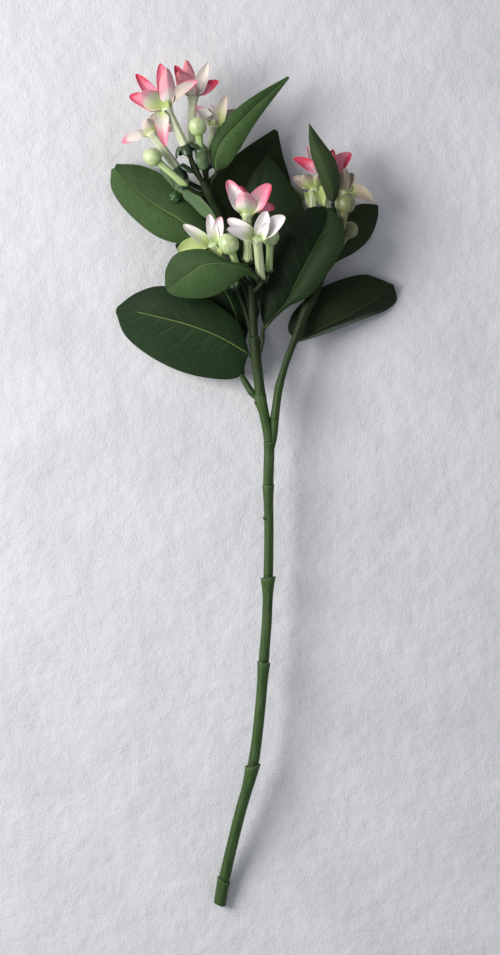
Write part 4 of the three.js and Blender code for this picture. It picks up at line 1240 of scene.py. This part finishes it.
def main_stem_mesh(sides):
    place, radius, slant, lip, gap, segment = stem_stations().T
    centres, tangents, across, up = stem_frame(MAIN_LINE, place)
    centres = centres + tangents * np.maximum(place - 1, 0)[:, None] * TOP_STRETCH
    stout = np.exp(-(((centres[:, 1] - KNOT[1]) / KNOT_SPREAD) ** 2))
    centres = centres - stout[:, None] * np.array(KNOT_SHIFT)
    angle = np.linspace(0, 2 * math.pi, sides, endpoint=False)
    turns = angle[None, :]
    ridges = sum(high * np.cos(count * turns + turn * segment[:, None]) for count, high, turn in RIDGES)
    wide = (radius + KNOT_SWELL * stout)[:, None] * (1 + ridges * (1 - gap[:, None]))
    bite = turns - math.pi / 2 - NOTCH_ASIDE * np.sin(NOTCH_TURN * segment[:, None])
    notch = NOTCH_DEPTH * np.exp(-((bite / NOTCH_WIDTH) ** 2)) * lip[:, None]
    step = slant[:, None] * np.cos(turns) - notch
    sideways, upwards = wide * np.cos(turns), wide * np.sin(turns)
    points = centres[:, None] + tangents[:, None] * step[..., None]
    points = points + across[:, None] * sideways[..., None] + up[:, None] * upwards[..., None]
    points[..., 2] = np.maximum(points[..., 2], STEM_CLEARANCE)
    run = np.concatenate([[0], np.cumsum(np.linalg.norm(np.diff(centres, axis=0), axis=1))])
    lengths = run[:, None] + GRAIN_STEP * segment[:, None]
    grain = np.stack(np.broadcast_arrays(sideways, upwards, lengths), -1)
    whole, faces = closed_rings(points)
    marks = {
        "grain": np.concatenate([grain.reshape(-1, 3), grain[0, :1], grain[-1, :1]]),
        "rim": np.concatenate([np.repeat(np.maximum(lip, stout), sides), [0, 0]]),
        "gap": np.concatenate([np.repeat(gap, sides), [0, 0]]),
    }
    mesh = new_mesh("main_stem_body", whole, faces, marks)
    outward(mesh)
    return mesh


# Two waves in directions across a lump of plastic, which together make it rough
LUMP_WAVES = np.array([(5.1, 3.7, 2.3), (-2.9, 6.1, 4.4)])
LUMP_START = np.array([1.0, 0.0])


def lump_mesh(name, centre, radius, rough):
    """A rough rounded lump of plastic, such as the knot and the nubs."""
    work = bmesh.new()
    bmesh.ops.create_icosphere(work, subdivisions=4, radius=1.0)
    points = np.array([v.co for v in work.verts])
    faces = [[v.index for v in face.verts] for face in work.faces]
    work.free()
    wave = np.sin(points @ LUMP_WAVES.T + LUMP_START).prod(axis=1)
    points = points * (radius * (1 + rough * wave))[:, None] + np.asarray(centre, float)
    return new_mesh(name, points, faces, {"grain": points})


# Depths of the flutes on a branch and on a stalk, for their radius, and how much a branch thickens at every
# second point of its middle line
BRANCH_FLUTES = 0.05
STALK_FLUTES = 0.04
BRANCH_SWELL = 0.28

# The stalk of a leaf: its radii, how far short of the leaf's base it ends, and how far before its end it is
# turned into the leaf's direction
PETIOLE_RADII = (1.8, 1.5)
PETIOLE_SHORT = 0.4
PETIOLE_TURN = 2.5
PETIOLE_STEPS = 24

# The stalk of a bloom or bud: where it bends, for its length, how far below the foot it ends, for the size of
# the calyx, and how much thinner it is for a small calyx
STALK_BEND = 0.5
STALK_END = 1.6
THIN_STALK = 0.87
STALK_STEPS = 16


def branch_rod(line, radii):
    """A branch's own rod."""
    places = np.linspace(0, 1, 6 * len(line))
    swell = BRANCH_SWELL * np.abs(np.sin(places * math.pi * (len(line) - 1) / 2)) ** 8
    girth = np.interp(places, np.linspace(0, 1, len(radii)), radii) + swell
    return spline(line, places), girth, BRANCH_FLUTES, 0


def petiole_rods(owner):
    """The stalks of a branch's leaves, from where they grow to just short of each leaf's base."""
    lines = []
    for leaf, grows, route in PETIOLES:
        if grows == owner:
            rib = np.array(LEAVES[leaf][4], float)
            inward = unit(rib[1] - rib[0])
            seat = rib[0] - inward * PETIOLE_SHORT
            turn = seat - inward * PETIOLE_TURN
            path = spline([*route, turn, seat], np.linspace(0, 1, PETIOLE_STEPS))
            lines.append((path, np.linspace(*PETIOLE_RADII, PETIOLE_STEPS), STALK_FLUTES, 0))
    return lines


def stalk_rods(items, thickness):
    """The stalks of a branch's blooms and buds, from their roots into their calyxes."""
    lines = []
    for (head, foot, root), (size, stretch) in items:
        foot, axis, length = upright(head, foot)
        bend = foot - axis * STALK_BEND * np.linalg.norm(foot - np.array(root, float))
        path = bezier(root, bend, foot - axis * STALK_END * size, np.linspace(0, 1, STALK_STEPS))
        lines.append((path, thickness * (THIN_STALK if size < 1 else 1), STALK_FLUTES, 0))
    return lines


def cluster(letter):
    """The head, foot and root of each bloom and bud of a cluster, with the sizes of their calyxes."""
    items = []
    for table, start, usual in ((BLOOMS, "bloom_", BLOOM_CALYX), (BUDS, "bud_", BUD_CALYX)):
        for name, item in table.items():
            if name.startswith(start + letter):
                items.append((item[:3], CALYXES.get(name, usual)))
    return items


# The foot of the right branch and the side stub: depth of the foot's flutes, and the radii of both, after the
# places that they are at
FOOT_FLUTES = 0.03
FOOT_RADII = ((0, 0.5, 1), (2.6, 3.1, 3.4))
STUB_RADII = ((0, 0.35, 1), (1.8, 3.0, 2.4))

# How rough the knot and the nubs are
KNOT_ROUGH = 0.05
NUBS_ROUGH = (0.15, 0.2)


class JASMINE_OT_main_stem(bpy.types.Operator):
    """The jointed main stem with its knot, nubs and side stub and the stalks of the lower leaves"""

    bl_idname = "jasmine.main_stem"
    bl_label = "Main stem"

    def execute(self, context):
        size, finish = sizes(), moulded_stem()
        body = main_stem_mesh(size.stem_sides)
        place_piece("main_stem_body", body, finish, "main_stem")
        lumps = {
            "main_stem_knot": (KNOT, KNOT_RADIUS, KNOT_ROUGH),
            "main_stem_nub": (*NUBS[0], NUBS_ROUGH[0]),
            "main_stem_stub_end": (*NUBS[1], NUBS_ROUGH[1]),
        }
        for name, form in lumps.items():
            place_piece(name, lump_mesh(name, *form), finish, "main_stem")
        places = np.linspace(0, 1, PETIOLE_STEPS)
        lines = petiole_rods("main")
        lines.append((spline(FOOT, places), np.interp(places, *FOOT_RADII), FOOT_FLUTES, 0))
        lines.append((spline(STUB, places), np.interp(places, *STUB_RADII), BRANCH_FLUTES, 0))
        place_rods("main_stem_stalks", lines, finish, size.stalk_sides, "main_stem")
        return {"FINISHED"}


# A calyx by its rings: the step along the axis, the radius and how much of the lobes is in it. The lobes of
# a standing one rise from its rim, and those of a hanging one fold out and back.
STANDING_RINGS = [
    (-3.2, 0.2, 0), (-3.2, 1.4, 0), (-2.4, 2.2, 0), (-1.2, 3.2, 0), (0.4, 4.6, 0.35), (2.0, 5.8, 1),
    (2.4, 5.7, 1.05), (2.3, 5.2, 1), (1.4, 4.5, 0.6), (0.4, 3.7, 0.2), (-0.4, 2.3, 0), (-0.5, 0.2, 0),
]
HANGING_RINGS = [
    (-3.2, 0.2, 0), (-3.2, 1.4, 0), (-2.4, 2.0, 0), (-1.2, 2.8, 0), (0.6, 3.4, 0), (1.5, 3.6, 0),
    (1.7, 3.7, 0.35), (1.8, 3.7, 0.75), (1.9, 3.7, 1), (2.2, 3.7, 1), (2.4, 3.8, 0.75), (2.5, 3.8, 0.35),
    (2.4, 3.5, 0), (1.8, 3.2, 0), (0.4, 2.7, 0), (-0.4, 2.0, 0), (-0.5, 0.2, 0),
]

# How far the lobes rise and spread, standing and hanging, and how many points a ring has
STANDING_LOBES = (2.6, 0.5)
HANGING_LOBES = (-4.0, 4.4)
CALYX_SIDES = 40


def calyx_pattern(hanging):
    """One calyx about the vertical: a cup with five pointed lobes, standing up or hanging back."""
    angle = np.linspace(0, 2 * math.pi, CALYX_SIDES, endpoint=False)
    given, (rise, spread) = STANDING_RINGS, STANDING_LOBES
    point = 1 - 2 * np.abs(np.sin(2.5 * angle)) ** 0.85
    if hanging:
        given, (rise, spread) = HANGING_RINGS, HANGING_LOBES
        point = np.abs(np.cos(2.5 * angle)) ** 0.75
    rings = []
    for step, radius, share in given:
        height = step + rise * share * point * (share if hanging else 1)
        wide = radius + spread * share * point
        rings.append(np.stack([wide * np.cos(angle), wide * np.sin(angle), height], -1))
    points, faces = closed_rings(np.array(rings))
    rim = np.concatenate([np.repeat([share**3 for step, radius, share in given], CALYX_SIDES), [0, 0]])
    return new_mesh("calyx_pattern", points, faces, {"rim": rim})


def calyxes(name, items, finish, hanging):
    """One mesh of calyxes. Each item gives the head and foot of what stands in it, its size and stretch."""
    pattern = bpy.data.objects.new("calyx_pattern", calyx_pattern(hanging))
    stands = [upright(*ends[:2]) for ends, form in items]
    mesh = bpy.data.meshes.new(name)
    mesh.from_pydata([(foot * MM).tolist() for foot, axis, length in stands], [], [])
    marks = {
        "aim": np.array([axis for foot, axis, length in stands]),
        "size": [form[0] for ends, form in items],
        "stretch": [form[1] for ends, form in items],
    }
    set_marks(mesh, marks)
    made = grown(mesh, calyx_tree(), {"Calyx": pattern, "Finish": finish}, marks)
    made.name = name
    bpy.data.objects.remove(pattern)
    return made


# The long cup that one bud stands in, open at its mouth, by its steps beyond the bud's foot and its radii:
# up the outside and down the inside
LONG_CUP_WALL = [
    (-9.2, 0.2), (-9.0, 2.0), (-6.8, 4.4), (-2, 5.0), (3, 5.2), (7.0, 5.3), (7.2, 5.0), (3, 4.6), (-1, 3.8),
    (-1.6, 0.2),
]
LONG_CUP_STEPS = 60


class JASMINE_OT_branches(bpy.types.Operator):
    """Three flowering branches with their stalks and calyxes"""

    bl_idname = "jasmine.branches"
    bl_label = "Branches"

    def execute(self, context):
        size, finish = sizes(), moulded_stem()
        stray = BLOOMS[STRAY_BLOOM][:3]
        upper = cluster("a") + [(stray, BLOOM_CALYX)]
        middle = [item for item in cluster("b") if item[0] != stray]
        right_line, right_radii = [FOOT[-1], *RIGHT_LINE], (RIGHT_RADII[0], *RIGHT_RADII)
        plans = {
            "right": (right_line, right_radii, cluster("c"), 1.6),
            "left": (LEFT_LINE, LEFT_RADII, upper, 1.9),
            "centre": (CENTRE_LINE, CENTRE_RADII, middle, 1.7),
        }
        for side, (line, radii, items, thickness) in plans.items():
            node = "branch_" + side
            lines = [branch_rod(line, radii), *petiole_rods(side), *stalk_rods(items, thickness)]
            place_rods(node + "_stalks", lines, finish, size.stalk_sides, node)
            dark = [item for item in items if item[0] != BUDS[LONG_CUP][:3]]
            for label, hanging in (("_calyxes", False), ("_wide_calyxes", True)):
                some = [item for item in dark if (item[1][0] > WIDE_CALYX) == hanging]
                if some:
                    cups = calyxes(node + label, some, calyx_plastic(), hanging)
                    place_piece(node + label, cups, calyx_plastic(), node)
        foot, axis, length = upright(*BUDS[LONG_CUP][:2])
        cup = [(*profile_line(foot, axis, LONG_CUP_WALL, LONG_CUP_STEPS), STALK_FLUTES, 0)]
        place_rods("branch_left_cup", cup, cup_plastic(), size.bud_sides, "branch_left")
        return {"FINISHED"}


# Blooms and buds

# A petal's width by its place: it is full from WIDE_FROM, narrows after NARROW_FROM and never ends in a point
PETAL_FULLNESS = 1.08
WIDE_FROM = 0.45
NARROW_FROM = 0.48
NARROW_POWER = 2.3
LEAST_WIDTH = 0.0015

# A petal leaves the tube this far below its mouth and out from its middle, and bends at this share of the
# way. It is folded along its middle, turns its inner side to the sky, curls back at its tip and ripples.
PETAL_BELOW = 2
PETAL_OUT = 3
PETAL_BEND = 0.3
PETAL_KEEL = math.radians(22)
PETAL_SPOON = 1.15
PETAL_TURN = 0.8
PETAL_CURL = 0.6
PETAL_RIPPLE = 0.12
PETAL_EDGE_THINNER = 0.4

# How pointed the petals and how pale the tubes of each cluster are
PETAL_POINTS = {"a": 0.6, "b": 0.48, "c": 0.56}
TUBE_PALENESS = {"a": 1, "b": 0.45, "c": 0.5}

# Columns of a petal from its middle to its edge
PETAL_HALF = [0, 0.12, 0.27, 0.44, 0.62, 0.78, 0.9, 0.97, 1]


def petal_width(places, point):
    """Half widths along a petal, sharper at its tip for a larger point."""
    outer = np.clip((places - NARROW_FROM) / (1 - NARROW_FROM), 0, 1)
    narrow = np.maximum(1 - outer**NARROW_POWER, LEAST_WIDTH) ** point
    return PETAL_FULLNESS * smooth_step(places, -WIDE_FROM, WIDE_FROM) * narrow


def petal_grid(mouth, axis, tip, half, point, places, across):
    """Rows of points over a petal that leaves the tube along its axis and bends out to its tip."""
    tip = np.array(tip, float)
    reach = tip - mouth
    outward_reach = reach - axis * np.dot(reach, axis)
    radial = unit(outward_reach)
    spread = np.linalg.norm(outward_reach)
    start = mouth - PETAL_BELOW * axis + PETAL_OUT * radial
    bend = mouth + PETAL_BEND * spread * axis + PETAL_BEND * outward_reach
    middle = bezier(start, bend, tip, places)
    tangent = unit(bezier(start, bend, tip, places + 0.01) - bezier(start, bend, tip, places - 0.01))
    inner = unit(np.cross(tangent, np.cross(axis, radial)))
    sky = np.where(inner[:, 2:] < -0.2, -1.0, 1.0) * np.array([0, 0, 1.0])
    turn = PETAL_TURN * np.minimum(1, 2.2 * places)[:, None]
    side = unit(np.cross(inner + (sky - inner) * turn, tangent))
    up = unit(np.cross(tangent, side))
    u = across[None, :, None]
    along = places[:, None, None]
    wide = (half * petal_width(places, point))[:, None, None]
    spoon = (0.35 * np.abs(u) + 0.65 * u**2) * wide * math.sin(PETAL_KEEL) * PETAL_SPOON
    curl = PETAL_CURL * along**4 * (1 - u**2)
    ripple = PETAL_RIPPLE * wide * u**2 * np.sin(9 * along + half + u)
    grid = middle[:, None] + side[:, None] * (u * wide * math.cos(PETAL_KEEL))
    return grid + up[:, None] * (spoon + ripple - curl)


def petals_mesh(name, bloom, point, rows, thickness):
    """All the petals of one bloom."""
    head, foot, root, petals = bloom
    axis = upright(head, foot)[1]
    across = both_sides(PETAL_HALF)[::-1]
    places = np.sin(np.linspace(0, math.pi / 2, rows))
    thin = thickness * (1 - PETAL_EDGE_THINNER * np.abs(across[None, :]) ** 4)
    points, faces, parts = [], [], []
    for tip, half, *values in petals:
        grid = petal_grid(np.array(head, float), axis, tip, half, point, places, across)
        some, more, under = blade(grid, thin, sum(len(p) for p in points))
        points.append(some)
        faces.append(more)
        marks = {label: np.full(len(some), value) for label, value in zip(PETAL_MARKS, values)}
        parts.append({"under": under, **marks, **spans(grid, places, across)})
    joined = {label: np.concatenate([part[label] for part in parts]) for label in parts[0]}
    maps = {label: joined.pop(label) for label in ("span", "cloth")}
    return new_mesh(name, np.concatenate(points), np.concatenate(faces), joined, maps)


# The tube of a bloom by steps and radii: up from its foot, then from just below its mouth, over it and in
TUBE_FOOT = [(0, 0.2), (0, 1.9), (0.8, 3.3), (3, 4.0), (8, 3.7)]
TUBE_MOUTH = [(-7, 3.7), (-2, 4.4), (0, 4.8), (1.4, 4.2), (2.3, 2.4), (2.4, 0.2)]
TUBE_STEPS = 56
TUBE_FLUTES = 0.10


class JASMINE_OT_blooms(bpy.types.Operator):
    """Ten blooms: a fluted moulded tube with dyed fabric petals"""

    bl_idname = "jasmine.blooms"
    bl_label = "Blooms"

    def execute(self, context):
        size, skin = sizes(), bud_plastic("moulded_tube")
        share = np.linspace(0, 1, TUBE_STEPS)
        flutes = TUBE_FLUTES * np.sin(math.pi * share)
        pale = smooth_step(share, 0.05, 0.45) * (1 - 0.6 * smooth_step(share, 0.7, 1))
        for name, bloom in BLOOMS.items():
            letter = name[len("bloom_")]
            thickness = size.petal_thickness / MM
            mesh = petals_mesh(name + "_petals", bloom, PETAL_POINTS[letter], size.petal_rows, thickness)
            place_piece(name + "_petals", mesh, petal_cloth(), name)
            foot, axis, length = upright(*bloom[:2])
            profile = TUBE_FOOT + [(length + step, radius) for step, radius in TUBE_MOUTH]
            path, radii = profile_line(foot, axis, profile, TUBE_STEPS)
            lines = [(path, radii, flutes, TUBE_PALENESS[letter] * pale)]
            place_rods(name + "_tube", lines, skin, size.bud_sides, name)
        return {"FINISHED"}


# A bud by steps and radii up from its foot, the share of the way to the neck where it is slimmest, and the
# radius there and at the neck
BUD_FOOT = [(0, 0.2), (0, 1.9), (1.6, 2.8)]
BUD_WAIST_FROM = 2.5
BUD_WAIST = 0.6
BUD_WAIST_RADIUS = 2.7
BUD_NECK_RADIUS = 3.3

# Its ball by rings, in degrees above its middle, how far the ball is drawn out along its axis, and how far
# its top and its neck are from the middle, for its radius. Grooves and paleness set in above the neck.
BALL_RINGS = (-42, -20, 0, 20, 40, 60, 78)
BALL_STRETCH = 1.08
BALL_TOP = 1.12
BALL_NECK = 0.95
BUD_STEPS = 72
BUD_GROOVES = 0.04
BUD_PALENESS = 0.42


class JASMINE_OT_buds(bpy.types.Operator):
    """Seven moulded buds on their stalks"""

    bl_idname = "jasmine.buds"
    bl_label = "Buds"

    def execute(self, context):
        usual_skin = bud_plastic("moulded_bud")
        painted_shade_skin = moulded_green("moulded_bud_painted_shade", *PAINTED_SHADE_BUD)
        for name, (head, foot, root, radius) in BUDS.items():
            foot, axis, length = upright(head, foot)
            neck = length - radius * BALL_NECK
            waist = BUD_WAIST_FROM + (neck - BUD_WAIST_FROM) * BUD_WAIST
            profile = [*BUD_FOOT, (waist, BUD_WAIST_RADIUS), (neck, BUD_NECK_RADIUS)]
            for turn in np.radians(BALL_RINGS):
                profile.append((length + radius * BALL_STRETCH * math.sin(turn), radius * math.cos(turn)))
            profile.append((length + radius * BALL_TOP, 0.2))
            path, radii = profile_line(foot, axis, profile, BUD_STEPS)
            steps = (path - foot) @ axis
            grooves = BUD_GROOVES * smooth_step(steps, neck, length)
            lines = [(path, radii, grooves, BUD_PALENESS * smooth_step(steps, neck, length + radius))]
            # the buds of the right cluster take the darker plastic, which is painted shade
            skin = painted_shade_skin if name.startswith("bud_c") else usual_skin
            place_rods(name + "_head", lines, skin, sizes().bud_sides, name)
        return {"FINISHED"}


# Stage

# The camera looks straight down. A sensor of this height sees FRAME_HEIGHT at FRAME_DISTANCE.
CAMERA_PLACE = (-0.00272, 0.00622, 3.0)
SENSOR_HEIGHT = 24
FRAME_DISTANCE = 2.970
FRAME_HEIGHT = 0.743
FLOOR_HALF = 4.0

# One large soft light to the left, and faint bluish light from all around
KEY_PLACE = (-1.2, 0.3, 1.0)
KEY_AIM = (0, 0.1, 0)
KEY_WIDTH = 1.0
KEY_COLOUR = (1.0, 0.975, 0.94)
FILL_COLOUR = (0.91, 0.945, 1.0, 1)


class JASMINE_OT_stage(bpy.types.Operator):
    """Camera above the stem, a plain pale floor and soft studio light"""

    bl_idname = "jasmine.stage"
    bl_label = "Stage"

    def execute(self, context):
        scene = context.scene
        scene.view_settings.view_transform = "Standard"

        lens = bpy.data.cameras.new("camera")
        lens.sensor_fit = "VERTICAL"
        lens.sensor_height = SENSOR_HEIGHT
        lens.lens = SENSOR_HEIGHT * FRAME_DISTANCE / FRAME_HEIGHT
        lens.clip_end = 50
        camera = bpy.data.objects.new("camera", lens)
        camera.location = CAMERA_PLACE
        scene.collection.objects.link(camera)
        scene.camera = camera

        mesh = bpy.data.meshes.new("floor")
        corners = [(FLOOR_HALF * x, FLOOR_HALF * y, 0) for x, y in ((-1, -1), (1, -1), (1, 1), (-1, 1))]
        mesh.from_pydata(corners, [], [(0, 1, 2, 3)])
        mesh.materials.append(floor_felt())
        floor = bpy.data.objects.new("floor", mesh)
        scene.collection.objects.link(floor)

        lamp = bpy.data.lights.new("key", "AREA")
        lamp.energy = colours().key_power
        lamp.shape = "DISK"
        lamp.size = KEY_WIDTH
        lamp.color = KEY_COLOUR
        key = bpy.data.objects.new("key", lamp)
        key.location = KEY_PLACE
        key.rotation_euler = (Vector(KEY_AIM) - key.location).to_track_quat("-Z", "Y").to_euler()
        scene.collection.objects.link(key)

        world = bpy.data.worlds.new("studio")
        world.use_nodes = True
        background = world.node_tree.nodes["Background"]
        background.inputs["Color"].default_value = FILL_COLOUR
        background.inputs["Strength"].default_value = colours().fill
        scene.world = world
        return {"FINISHED"}


class JASMINE_PT_panel(bpy.types.Panel):
    """The pieces of the stem and its stage"""

    bl_label = "Madagascar jasmine stem"
    bl_idname = "JASMINE_PT_panel"
    bl_space_type = "VIEW_3D"
    bl_region_type = "UI"
    bl_category = "Jasmine"

    def draw(self, context):
        for operator in OPERATORS:
            self.layout.operator(operator.bl_idname)
        for group in (context.scene.jasmine_sizes, context.scene.jasmine_colours):
            box = self.layout.box()
            for name in group.bl_rna.properties.keys():
                if name not in ("rna_type", "name"):
                    box.prop(group, name)


OPERATORS = [
    JASMINE_OT_stage,
    JASMINE_OT_main_stem,
    JASMINE_OT_branches,
    JASMINE_OT_leaves,
    JASMINE_OT_blooms,
    JASMINE_OT_buds,
]
CLASSES = [StemSizes, StemColours, *OPERATORS, JASMINE_PT_panel]


def register():
    for item in CLASSES:
        bpy.utils.register_class(item)
    bpy.types.Scene.jasmine_sizes = PointerProperty(type=StemSizes)
    bpy.types.Scene.jasmine_colours = PointerProperty(type=StemColours)


def unregister():
    del bpy.types.Scene.jasmine_colours
    del bpy.types.Scene.jasmine_sizes
    for item in reversed(CLASSES):
        bpy.utils.unregister_class(item)


def main():
    register()
    bpy.ops.jasmine.stage()
    bpy.ops.jasmine.main_stem()
    bpy.ops.jasmine.branches()
    bpy.ops.jasmine.leaves()
    bpy.ops.jasmine.blooms()
    bpy.ops.jasmine.buds()


if __name__ == "__main__":
    main()
